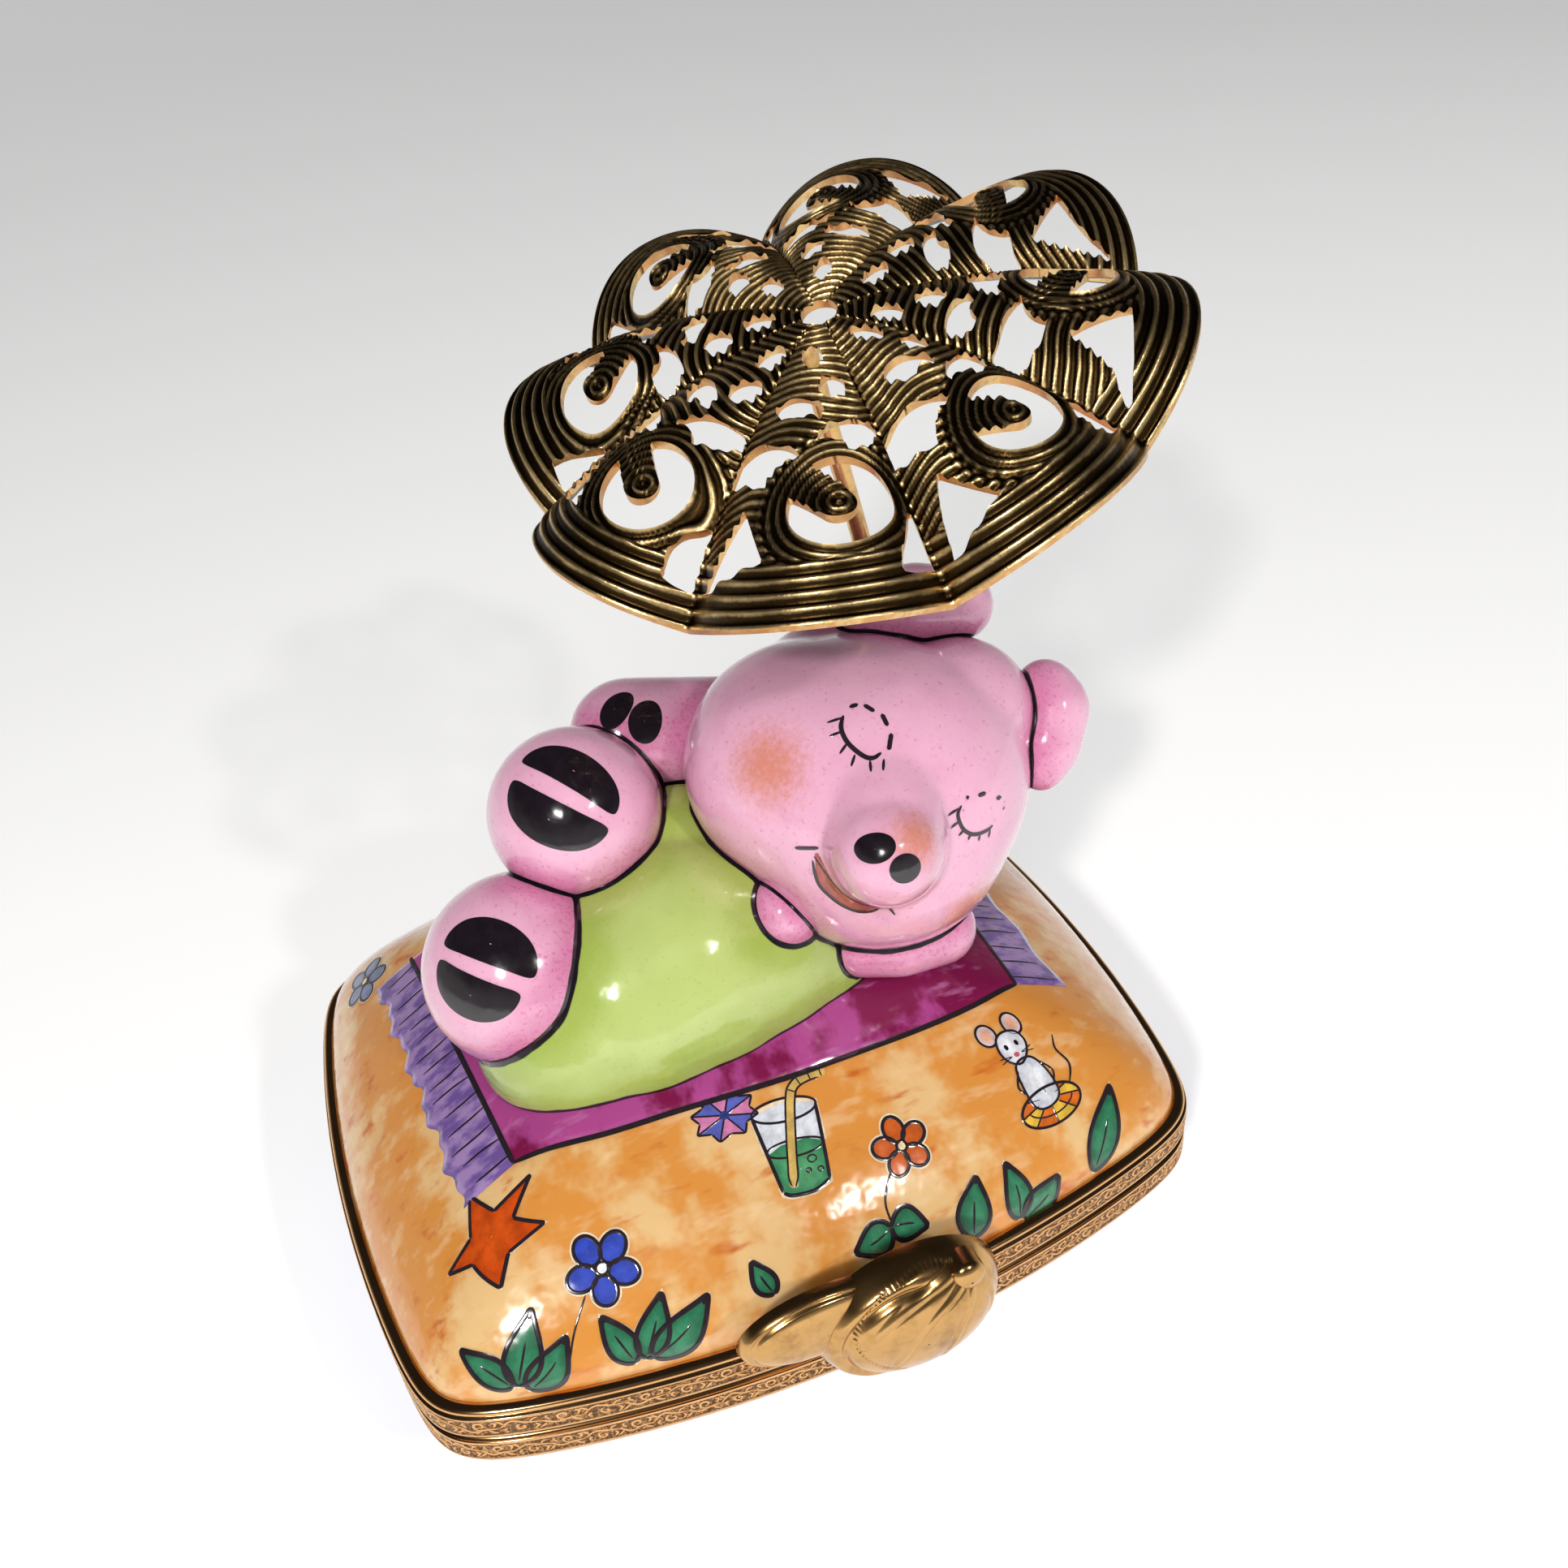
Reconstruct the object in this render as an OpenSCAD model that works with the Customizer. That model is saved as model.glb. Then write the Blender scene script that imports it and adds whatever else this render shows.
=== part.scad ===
// A hinged porcelain trinket box: a cushion-shaped box with two gilt rims, a
// clasp in front and a hinge behind, and on the lid a pig asleep under a parasol.
// +X runs to the right along the box, +Y to the hinge and +Z up.
// The origin is the middle of the flat foot that the box stands on.

/* [Box] */
// Length of the box at the lid's lower edge
box_length = 60; // [56:1:64]
// Depth of the box at the lid's lower edge
box_depth = 51.2; // [48:0.2:54]
// How far each long side bows out
side_bow = 5; // [4:0.5:6]
// How far each short side bows out
end_bow = 3.2; // [2.6:0.2:4]
// Sharpness of the four corners
corner_power = 22; // [14:1:30]
// Thickness of the porcelain
wall = 2; // [1.6:0.2:2.4]
// Height of the seam between the two rims
seam_z = 14; // [13:0.5:16]
// Height of the dome of the lid above its rim
dome_height = 13.4; // [12:0.2:14]

/* [Rims] */
// Height of each rim
rim_height = 2.9; // [2.6:0.1:3.2]
// How far each rim stands out from the porcelain
rim_out = 0.9; // [0.7:0.1:1]
// Half the height of the groove along the seam
seam_groove = 0.3; // [0.2:0.05:0.4]
// Height of the polished bead where a rim meets the porcelain
bead_height = 0.5; // [0.4:0.1:0.7]

/* [Hinge] */
// Radius of the hinge pin
pin_r = 0.45; // [0.4:0.05:0.5]
// Running clearance of the pin in its knuckles
pin_clearance = 0.05; // [0.03:0.01:0.08]
// Outer radius of a knuckle
knuckle_r = 1.1; // [1:0.05:1.2]
// Length of the whole hinge
hinge_length = 18; // [16:1:20]
// Gap between two neighbouring knuckles
knuckle_gap = 0.15; // [0.1:0.05:0.2]

/* [Clasp] */
// Half the length of the crown of the cap on the clasp
crown_long = 6.6; // [6:0.1:7]
// Half the height of the crown
crown_high = 5.4; // [5.2:0.1:6]
// How far the crown stands out from its back
crown_rise = 3.7; // [3:0.1:4.2]
// Half the length of the brim of the cap
brim_long = 5.6; // [5:0.1:6]
// Half the height of the brim
brim_high = 3.0; // [2.8:0.1:4]
// Width of the springy tongue behind the cap
tongue_width = 5; // [4:0.5:6]
// Thickness of the tongue
tongue_t = 0.5; // [0.4:0.05:0.6]

/* [Parasol] */
// Radius from the hub to the tips of the ribs
canopy_r = 19.6; // [18:0.2:21]
// Height of the hub over the tips of the ribs
canopy_height = 6.5; // [5.5:0.1:7.5]
// How far a petal swells outward past the tips
petal_out = 1.9; // [1.4:0.1:2.4]
// How far the rim of a petal swells upward
petal_up = 3.1; // [2.4:0.1:3.6]
// Thickness of the pressed canopy
canopy_t = 0.7; // [0.6:0.1:1]
// Radius of the pole
pole_r = 0.65; // [0.55:0.05:0.75]

/* [Hidden] */

glaze_pink = [0.91, 0.58, 0.68];
shirt_green = [0.65, 0.75, 0.33];
sand_orange = [0.93, 0.66, 0.30];
sea_blue = [0.20, 0.27, 0.62];
gilt = [0.72, 0.53, 0.25];
old_gilt = [0.38, 0.28, 0.12];

side_points = 72;         // points round the cushion-shaped outline
slip = 0.2;               // the line of slip between two luted pieces
fit_gap = 0.05;           // clearance of the porcelain inside its rim
rim_top = seam_z + rim_height;
rim_bottom = seam_z - rim_height;
lip_in = 2.2;             // how far the flat lip of a rim reaches in under the porcelain
lip_t = 0.5;              // thickness of that lip
half_seam = 0.06;         // half the gap between the closed rims
dome_power = 1.64;        // roundness of the dome in plan
dome_fall = 0.67;         // steepness of the dome at its edge
knuckle_count = 5;
hinge_y = box_depth / 2 + rim_out + knuckle_r + 0.1;
front_y = -(box_depth / 2 + rim_out);

// ---- where the parasol stands ----

petals = 8;
petal_cells = 10;                     // cells across one petal
canopy_turn = -145;                   // angle of the first tip about the parasol's axis
canopy_c = [13.9, 1.2, rim_top + 49.4];
lean = [10.4, -14.75];                // how the parasol leans about X, then about Y
pole_offset = [-1.28, 0.31];          // the pole is soldered beside the hub's hole
pole_foot = -47.6;                    // the pole's lower end, along the parasol's axis
hub_hole_r = 1.1;
ferrule_r = 1.1;

// ---- the cushion-shaped outline ----

// Distance from the centre to a bowed side, along a direction whose cosine to
// that side's normal is c. The bow is an arc through the side's middle.
function to_bowed_side(c, reach, half_span, bow) =
    let (arc_r = (half_span * half_span + bow * bow) / (2 * bow), back = reach - arc_r)
    c * back + sqrt(c * c * back * back - back * back + arc_r * arc_r);

// Radius of the outline at angle a, with the outline moved out by grow.
function outline_r(a, grow) =
    let (to_end = to_bowed_side(abs(cos(a)), box_length / 2 + grow, box_depth / 2, end_bow),
        to_side = to_bowed_side(abs(sin(a)), box_depth / 2 + grow, box_length / 2, side_bow))
    pow(pow(to_end, -corner_power) + pow(to_side, -corner_power), -1 / corner_power);

function outline(grow) = [for (i = [0 : side_points - 1])
    let (a = 360 * i / side_points) outline_r(a, grow) * [cos(a), sin(a)]];

// One ring of points: the outline moved out by grow, shrunk by share, at height z.
function ring(share, z, grow = 0) = [for (p = outline(grow)) [p.x * share, p.y * share, z]];

// Height of the dome over the rim at a share of the way out to the edge.
function dome_z(share, height) = height * pow(max(0, 1 - pow(share, dome_power)), dome_fall);

// A closed skin over rings of n points each, with flat ends on the first and last ring.
module skin(rings) {
    n = len(rings[0]);
    points = [for (r = rings) each r];
    walls = [for (k = [0 : len(rings) - 2], i = [0 : n - 1])
        let (j = (i + 1) % n) each [[k * n + i, k * n + j, (k + 1) * n + i],
            [k * n + j, (k + 1) * n + j, (k + 1) * n + i]]];
    first_end = [[for (i = [n - 1 : -1 : 0]) i]];
    last_end = [[for (i = [0 : n - 1]) (len(rings) - 1) * n + i]];
    polyhedron(points, concat(walls, first_end, last_end), convexity = 6);
}

// A flat band between the outline moved out by inner and by outer.
module band(inner, outer, z, height) {
    translate([0, 0, z]) linear_extrude(height) difference() {
        polygon(outline(outer));
        polygon(outline(inner));
    }
}

// ---- the two porcelain shells ----

module base_shell() {
    top = rim_bottom - lip_t + rim_height - half_seam - 0.05;
    outer = [[0.62, 0], [0.66, 0.25], [0.74, 1.6], [0.82, 3.9], [0.89, 6.4], [0.945, 8.8], [0.985, 10.8]];
    inner = [[0.91, 10.8], [0.87, 8.8], [0.81, 6.4], [0.735, 4.3], [0.65, 2.9], [0.5, 2.2]];
    color(sea_blue) skin(concat(
        [for (s = outer) ring(s[0], s[1])],
        [ring(1, rim_bottom, -fit_gap - 0.3), ring(1, top, -fit_gap - 0.3)],
        [ring(1, top, -wall), ring(1, rim_bottom, -wall)],
        [for (s = inner) ring(s[0], s[1])]));
}

module lid_shell() {
    bottom = seam_z + half_seam + lip_t + fit_gap;
    outer = [1, 0.985, 0.96, 0.92, 0.86, 0.78, 0.66, 0.5, 0.3, 0.1];
    inner = [0.1, 0.3, 0.5, 0.68, 0.8, 0.88];
    color(sand_orange) difference() {
        skin(concat(
            [for (s = inner) ring(s, rim_top - 0.5 + dome_z(s / 0.93, dome_height - wall - 0.3))],
            [ring(1, rim_top - 1.2, -wall), ring(1, bottom, -wall), ring(1, bottom, -fit_gap)],
            [for (s = outer) ring(s, rim_top + dome_z(s, dome_height), -fit_gap)]));
        on_pole_axis() translate([0, 0, -8]) cylinder(r = ferrule_r + fit_gap, h = 16, $fn = 32);
    }
}

// ---- the rims ----

module base_rim() {
    color(gilt) union() {
        band(0, rim_out, rim_bottom + bead_height, rim_height - bead_height - seam_groove);
        band(0, rim_out - 0.35, rim_bottom, bead_height);
        band(0, rim_out - 0.4, seam_z - seam_groove, seam_groove - half_seam);
        band(-lip_in, 0, seam_z - half_seam - lip_t, lip_t);
    }
}

module lid_rim() {
    color(gilt) union() {
        band(0, rim_out, seam_z + seam_groove, rim_height - bead_height - seam_groove);
        band(0, rim_out - 0.35, rim_top - bead_height, bead_height);
        band(0, rim_out - 0.4, seam_z + half_seam, seam_groove - half_seam);
        band(-lip_in, 0, seam_z + half_seam, lip_t);
    }
}

// ---- the hinge ----

knuckle_pitch = (hinge_length + knuckle_gap) / knuckle_count;

// One knuckle and the leaf that is soldered to a rim; up is 1 on the lid, -1 on the base.
module knuckle(i, up) {
    x0 = -hinge_length / 2 + i * knuckle_pitch;
    long = knuckle_pitch - knuckle_gap;
    leaf_h = 2.2;
    difference() {
        union() {
            translate([x0, hinge_y, seam_z]) rotate([0, 90, 0])
                cylinder(r = knuckle_r, h = long, $fn = 48);
            translate([x0, hinge_y - 2, up > 0 ? seam_z : seam_z - leaf_h])
                cube([long, 1.6, leaf_h]);
        }
        translate([x0 - 1, hinge_y, seam_z]) rotate([0, 90, 0])
            cylinder(r = pin_r + pin_clearance, h = long + 2, $fn = 48);
        translate([0, 0, seam_z - 5]) linear_extrude(10) polygon(outline(rim_out + 0.03));
    }
}

module base_knuckles() {
    color(gilt) for (i = [0 : 2 : knuckle_count - 1]) knuckle(i, -1);
}

module lid_knuckles() {
    color(gilt) for (i = [1 : 2 : knuckle_count - 1]) knuckle(i, 1);
}

module hinge_pin() {
    color(gilt) translate([-hinge_length / 2 - 0.3, hinge_y, seam_z]) rotate([0, 90, 0])
        cylinder(r = pin_r, h = hinge_length + 0.6, $fn = 48);
}

// ---- the clasp ----

tongue_x = 1.5;                       // middle of the tongue
tongue_back_y = front_y - 0.35;       // inner face of the tongue
flex_z = rim_top - 0.4;               // axis that the tongue bends about
flex_y = tongue_back_y - tongue_t / 2;
roll_r = 0.35;                        // the tongue's rolled upper edge
cap_back_y = flex_y - roll_r - 0.02;
crown_c = [1.9, rim_top + 1.2];       // x and z of the crown's middle
brim_c = [-3.9, rim_top + 3.1];       // x and z of the brim's middle

module clasp_pad() {
    color(gilt) difference() {
        translate([tongue_x - tongue_width / 2, tongue_back_y - 0.05, seam_z + 0.6])
            cube([tongue_width, 2, rim_height - 0.7]);
        translate([0, 0, seam_z - 5]) linear_extrude(10) polygon(outline(rim_out + 0.03));
        translate([tongue_x - tongue_width, flex_y, flex_z]) rotate([0, 90, 0])
            cylinder(r = roll_r + 0.08, h = 2 * tongue_width, $fn = 48);
        translate([tongue_x - tongue_width, flex_y - 2, seam_z]) cube([2 * tongue_width, 2.4, 2.3]);
    }
}

module clasp_tongue() {
    long = 4.1;
    color(gilt) union() {
        translate([tongue_x - tongue_width / 2, flex_y, flex_z]) rotate([0, 90, 0])
            cylinder(r = roll_r, h = tongue_width, $fn = 48);
        translate([tongue_x - tongue_width / 2, flex_y - tongue_t / 2, flex_z - long])
            cube([tongue_width, tongue_t, long]);
    }
}

// A low oval dome standing out towards the front from a flat back.
module relief(centre, long, high, rise) {
    ball_r = (long * long + rise * rise) / (2 * rise);
    translate([centre[0], cap_back_y, centre[1]]) scale([1, 1, high / long]) intersection() {
        translate([0, ball_r - rise, 0]) sphere(r = ball_r, $fn = 64);
        translate([-long - 1, -rise - 1, -long - 1]) cube([2 * long + 2, rise + 1, 2 * long + 2]);
    }
}

module clasp_cap() {
    button = [5.4, rim_top + 4.5];
    button_r = 1.3;
    color(gilt) union() {
        relief(crown_c, crown_long, crown_high, crown_rise);
        relief(brim_c, brim_long, brim_high, 1.5);
        translate([button[0], cap_back_y - 1.6, button[1]]) sphere(r = button_r, $fn = 32);
    }
}

// A shallow half-round ridge on the lower rim, under the tongue.
module catch_bump() {
    color(gilt) difference() {
        translate([tongue_x - 1.6, front_y + 0.25, seam_z - 1.0]) rotate([0, 90, 0])
            cylinder(r = 0.45, h = 3.2, $fn = 32);
        translate([0, 0, seam_z - 5]) linear_extrude(10) polygon(outline(rim_out + 0.02));
    }
}

// ---- the pig ----
// Each piece is cast on its own and luted on with slip. A piece is the swelling
// round one or more balls, seen from a centre inside it: [centre, [[ball centre, r], ...]].
// It stops a hair short of the lid and of the pieces that it sits against.

head_c = [10.8, -3.6, rim_top + 24];
head_up = [0.755, 0.03, 0.655];
head_side = [0.62, -0.35, -0.70];
head_face = [-0.21, -0.935, 0.285];
function on_head(side, up, face) = head_c + side * head_side + up * head_up + face * head_face;
function over_rim(x, y, z) = [x, y, rim_top + z];
// The balls with three more between each two of them.
function chain(balls) = concat([balls[0]], [for (k = [0 : len(balls) - 2], t = [0.25 : 0.25 : 1])
    [balls[k][0] + (balls[k + 1][0] - balls[k][0]) * t, balls[k][1] + (balls[k + 1][1] - balls[k][1]) * t]]);
function roomier(piece, by) = [piece[0], [for (ball = piece[1]) [ball[0], ball[1] + by]]];

body = [over_rim(-3, -3, 15.4), [[over_rim(-11, -3.6, 10.8), 7.8], [over_rim(-7, -3.3, 12.2), 9],
    [over_rim(-3, -2.7, 12.8), 9.5], [over_rim(1, -2.4, 12.6), 9], [over_rim(5, -2.2, 11.8), 8],
    [over_rim(-1, 2, 17), 6.2]]];
head = [on_head(0, 0.8, 0), [[on_head(-3.2, -1.1, -0.9), 8.5], [on_head(0.3, 0.4, 0), 9.8],
    [on_head(2.6, -0.9, 1.1), 9.1], [on_head(2, 2.2, 0.3), 9.1], [on_head(2.8, 8.1, -0.6), 5.2],
    [on_head(-1.6, 2.9, -1.1), 6.6], [on_head(-4.8, 3.8, -4.5), 4.3]]];
snout = [on_head(0.22, -0.4, 11.7), [[on_head(0.6, 0.1, 8.6), 3.8], [on_head(1.1, -0.7, 9), 3.9],
    [on_head(0.8, -0.6, 10.2), 3.45], [on_head(0.6, -0.5, 10.8), 3.1]]];
ear_left = [on_head(-3.3, 11.5, -3.8), chain([[on_head(-5.4, 8.9, -4), 2.2],
    [on_head(-3.5, 11.7, -3.9), 3], [on_head(-1.2, 13.7, -3.5), 2.5]])];
ear_right = [on_head(8.2, 11.3, 0.1), chain([[on_head(6.7, 13.1, -0.8), 2], [on_head(8, 12.5, -0.2), 2.4],
    [on_head(8.9, 10.3, 0.5), 2.4], [on_head(9.6, 8.8, 1), 1.6]])];
leg_upper = [over_rim(-7, 3.8, 22.8), [[over_rim(-7.6, 2.5, 24), 6], [over_rim(-6.7, 4.4, 22.3), 5.8],
    [over_rim(-5.8, 6.2, 20.6), 5.4]]];
leg_lower = [over_rim(-13.7, -0.6, 15), [[over_rim(-14.2, -2, 16), 6.7], [over_rim(-13.5, -0.2, 14.6), 6.5],
    [over_rim(-12.8, 1.6, 13.2), 6]]];
arm_upper = [over_rim(1.4, 7.4, 24.6), chain([[over_rim(-2, 7.8, 25.4), 4],
    [over_rim(1.75, 7.35, 24.5), 4], [over_rim(5.5, 6.9, 23.6), 4]])];
arm_lower = [over_rim(11.4, -9.8, 13.6), chain([[over_rim(8.4, -8.9, 14.1), 2.3],
    [over_rim(10.9, -9.8, 14.2), 2.6], [over_rim(14, -9.6, 13.8), 2.6]])];
hand_lower = [over_rim(3, -8.2, 18.2), [[over_rim(3.4, -7.5, 18.3), 2.65]]];

// How far along a line from p the ball is left.
function ball_exit(p, along, ball) =
    let (to = p - ball[0], b = to * along, under = b * b - to * to + ball[1] * ball[1])
    under < 0 ? 0 : max(0, sqrt(under) - b);

// A smooth largest value of the ways out of the balls.
function reach(piece, along) = pow([for (ball = piece[1])
    pow(ball_exit(piece[0], along, ball), 40)] * [for (ball = piece[1]) 1], 1 / 40);

function lid_z(p) = let (share = norm([p.x, p.y]) / outline_r(atan2(p.y, p.x), 0))
    share > 1 ? 0 : rim_top + dome_z(share, dome_height);

function inside(piece, p) = let (to = p - piece[0], far = norm(to))
    far < 0.001 || far < reach(piece, to / far) + slip;

// The parasol's pole passes close behind the head: a point on it, and its direction.
function leaned(v) =
    let (q = [v.x, v.y * cos(lean[0]) - v.z * sin(lean[0]), v.y * sin(lean[0]) + v.z * cos(lean[0])])
    [q.x * cos(lean[1]) + q.z * sin(lean[1]), q.y, q.z * cos(lean[1]) - q.x * sin(lean[1])];
pole_point = canopy_c + leaned([pole_offset[0], pole_offset[1], 0]);
pole_way = leaned([0, 0, 1]);

function blocked(p, others) =
    p.z < lid_z(p) + slip
    || norm(cross(p - pole_point, pole_way)) < pole_r + 2 * slip
    || len([for (o = others) if (inside(o, p)) 1]) > 0;

function halve(p, along, low, high, others, left) = left == 0 ? low :
    let (mid = (low + high) / 2)
    blocked(p + mid * along, others) ? halve(p, along, low, mid, others, left - 1)
        : halve(p, along, mid, high, others, left - 1);

function first_stop(p, along, far, others, steps = 14, k = 1) = k > steps ? far :
    blocked(p + far * k / steps * along, others)
        ? halve(p, along, far * (k - 1) / steps, far * k / steps, others, 9)
        : first_stop(p, along, far, others, steps, k + 1);

// The piece's surface as a closed net of points seen from its centre.
module swelling(piece, others, around = 28) {
    rows = around / 2;
    function point(up, turn) = let (along = [cos(up) * cos(turn), cos(up) * sin(turn), sin(up)])
        piece[0] + first_stop(piece[0], along, reach(piece, along), others) * along;
    net = [for (k = [1 : rows - 1]) [for (i = [0 : around - 1])
        point(-90 + 180 * k / rows, 360 * i / around)]];
    points = concat([for (row = net) each row], [point(-90, 0), point(90, 0)]);
    bottom = len(points) - 2;
    top = len(points) - 1;
    last = (rows - 2) * around;
    walls = [for (k = [0 : rows - 3], i = [0 : around - 1]) let (j = (i + 1) % around) each
        [[k * around + i, (k + 1) * around + i, k * around + j],
            [k * around + j, (k + 1) * around + i, (k + 1) * around + j]]];
    ends = [for (i = [0 : around - 1]) let (j = (i + 1) % around) each
        [[bottom, i, j], [top, last + j, last + i]]];
    polyhedron(points, concat(walls, ends), convexity = 4);
}

module pig_body() {
    color(shirt_green) swelling(body, [roomier(head, 0.1), roomier(leg_upper, 0.1), leg_lower, arm_upper,
        arm_lower, roomier(hand_lower, 0.4)], 36);
}

module pig_head() { color(glaze_pink) swelling(head, [], 36); }

module pig_snout() { color(glaze_pink) swelling(snout, [head], 24); }

module pig_ear_left() { color(glaze_pink) swelling(ear_left, [head], 24); }

module pig_ear_right() { color(glaze_pink) swelling(ear_right, [head], 24); }

module pig_leg_upper() { color(glaze_pink) swelling(leg_upper, [leg_lower]); }

module pig_leg_lower() { color(glaze_pink) swelling(leg_lower, []); }

module pig_arm_upper() { color(glaze_pink) swelling(arm_upper, [head, leg_upper]); }

module pig_arm_lower() { color(glaze_pink) swelling(arm_lower, [head]); }

module pig_hand_lower() { color(glaze_pink) swelling(hand_lower, [head], 20); }

// ---- the parasol ----

module on_parasol() {
    translate(canopy_c) rotate([0, lean[1], 0]) rotate([lean[0], 0, 0]) children();
}

module on_pole_axis() {
    on_parasol() translate([pole_offset[0], pole_offset[1], -45.6]) children();
}

// 1 in the middle of a petal, 0 on the creases between petals; turn counts from a crease.
function swell(turn) = let (t = 2 * (turn * petals / 360 - floor(turn * petals / 360)) - 1) 1 - t * t;

function canopy_point(share, turn, drop) =
    let (s = swell(turn), edge = canopy_r + petal_out * s,
        r = hub_hole_r + (edge - hub_hole_r) * share,
        z = canopy_height * (1 - pow(share, 1.8)) + petal_up * s * pow(share, 1.2))
    [r * cos(turn + canopy_turn), r * sin(turn + canopy_turn), z - drop];

canopy_rings = [0, 0.09, 0.18, 0.29, 0.36, 0.48, 0.55, 0.64, 0.73, 0.82, 0.88, 1];
// For each row of cells between two rings, the cells of a petal that are open.
open_cells = [[], [], [4, 5], [], [1, 2, 7, 8], [], [3, 4, 5, 6], [3, 4, 5, 6], [3, 4, 5, 6], [], []];
function is_open(row, i) = len(search(i % petal_cells, open_cells[row])) > 0;

// The pressed sheet: an outer face, an inner face and a wall round every edge.
module canopy_sheet() {
    n = petals * petal_cells;
    m = len(canopy_rings);
    points = [for (drop = [0, canopy_t], share = canopy_rings, i = [0 : n - 1])
        canopy_point(share, 360 * i / n, drop)];
    function at(side, row, i) = side * m * n + row * n + (i % n);
    function quad(a, b, c, d) = [[a, b, c], [a, c, d]];
    function is_solid(row, i) = row >= 0 && row < m - 1 && !is_open(row, (i + n) % n);
    faces = [for (row = [0 : m - 2], i = [0 : n - 1]) if (is_solid(row, i)) each concat(
        quad(at(0, row, i), at(0, row, i + 1), at(0, row + 1, i + 1), at(0, row + 1, i)),
        quad(at(1, row, i), at(1, row + 1, i), at(1, row + 1, i + 1), at(1, row, i + 1)),
        is_solid(row + 1, i) ? [] :
            quad(at(0, row + 1, i), at(0, row + 1, i + 1), at(1, row + 1, i + 1), at(1, row + 1, i)),
        is_solid(row - 1, i) ? [] :
            quad(at(0, row, i + 1), at(0, row, i), at(1, row, i), at(1, row, i + 1)),
        is_solid(row, i + 1) ? [] :
            quad(at(0, row + 1, i + 1), at(0, row, i + 1), at(1, row, i + 1), at(1, row + 1, i + 1)),
        is_solid(row, i - 1) ? [] :
            quad(at(0, row, i), at(0, row + 1, i), at(1, row + 1, i), at(1, row, i)))];
    polyhedron(points, faces, convexity = 10);
}

module parasol_canopy() {
    color(old_gilt) on_parasol() canopy_sheet();
}

module parasol_pole() {
    top = canopy_height - canopy_t - 0.15;
    color(gilt) on_parasol() translate([pole_offset[0], pole_offset[1], pole_foot])
        cylinder(r = pole_r, h = top - pole_foot, $fn = 32);
}

module pole_ferrule() {
    color(gilt) on_pole_axis() difference() {
        union() {
            translate([0, 0, -2.2]) cylinder(r = ferrule_r, h = 4.4, $fn = 32);
            translate([0, 0, 2.2]) cylinder(r = 1.7, h = 0.7, $fn = 32);
        }
        translate([0, 0, -4]) cylinder(r = pole_r + 0.03, h = 8, $fn = 32);
    }
}

base_shell();
base_rim();
base_knuckles();
hinge_pin();
catch_bump();
lid_shell();
lid_rim();
lid_knuckles();
clasp_pad();
clasp_tongue();
clasp_cap();
pig_body();
pig_head();
pig_snout();
pig_ear_left();
pig_ear_right();
pig_leg_upper();
pig_leg_lower();
pig_arm_upper();
pig_arm_lower();
pig_hand_lower();
pole_ferrule();
parasol_pole();
parasol_canopy();
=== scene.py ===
"""Looks of a hinged porcelain trinket box: a pig asleep under a pierced parasol.

Lengths are in millimetres in the CAD frame until a mesh is made. The shapes of the
box, the pig and the parasol follow the same formulas as the CAD model.
"""

import math

import bpy
import numpy as np
from mathutils import Matrix, Vector

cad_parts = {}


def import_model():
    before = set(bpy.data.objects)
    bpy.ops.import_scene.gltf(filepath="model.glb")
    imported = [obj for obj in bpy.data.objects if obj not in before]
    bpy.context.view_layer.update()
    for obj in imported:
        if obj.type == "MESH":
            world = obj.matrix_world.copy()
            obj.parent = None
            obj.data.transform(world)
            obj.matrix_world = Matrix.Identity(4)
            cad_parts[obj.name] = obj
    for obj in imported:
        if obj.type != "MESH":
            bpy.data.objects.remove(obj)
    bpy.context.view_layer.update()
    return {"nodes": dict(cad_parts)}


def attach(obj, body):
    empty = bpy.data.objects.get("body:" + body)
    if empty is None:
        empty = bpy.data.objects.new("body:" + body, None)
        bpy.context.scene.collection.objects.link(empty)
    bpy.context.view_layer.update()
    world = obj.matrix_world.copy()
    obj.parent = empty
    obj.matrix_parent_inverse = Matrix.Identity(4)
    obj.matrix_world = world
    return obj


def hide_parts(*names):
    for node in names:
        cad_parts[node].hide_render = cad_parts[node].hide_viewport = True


MM = 0.001

# ---- sizes of the box, as in the CAD model ----
BOX_LENGTH = 60.0
BOX_DEPTH = 51.2
SIDE_BOW = 5.0
END_BOW = 3.2
CORNER_POWER = 22
WALL = 2.0
SEAM_Z = 14.0
DOME_HEIGHT = 13.4
RIM_HEIGHT = 2.9
RIM_TOP = SEAM_Z + RIM_HEIGHT
RIM_BOTTOM = SEAM_Z - RIM_HEIGHT
HALF_SEAM = 0.06
LIP_T = 0.5
FIT_GAP = 0.05
DOME_POWER = 1.64
DOME_FALL = 0.67

# ---- where the parasol stands ----
PETALS = 8
CANOPY_R = 19.6
CANOPY_HEIGHT = 6.5
PETAL_OUT = 1.9
PETAL_UP = 3.1
CANOPY_T = 0.7
CANOPY_TURN = -145.0
CANOPY_C = np.array([13.9, 1.2, RIM_TOP + 49.4])
LEAN_X = math.radians(10.4)
LEAN_Y = math.radians(-14.75)
HUB_HOLE_R = 1.1

# ---- the clasp's cap ----
CAP_BACK_Y = -27.47
CROWN_C = (1.9, RIM_TOP + 1.2)
CROWN_LONG = 6.6
CROWN_HIGH = 5.4
CROWN_RISE = 3.7
BRIM_C = (-3.9, RIM_TOP + 3.1)
BRIM_LONG = 5.6
BRIM_HIGH = 3.0
BUTTON = (5.4, RIM_TOP + 4.5)
BUTTON_R = 1.2


def unit(v):
    v = np.asarray(v, float)
    return v / np.linalg.norm(v, axis=-1, keepdims=True)


def smooth(x, low, high):
    t = np.clip((x - low) / (high - low), 0, 1)
    return t * t * (3 - 2 * t)


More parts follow.
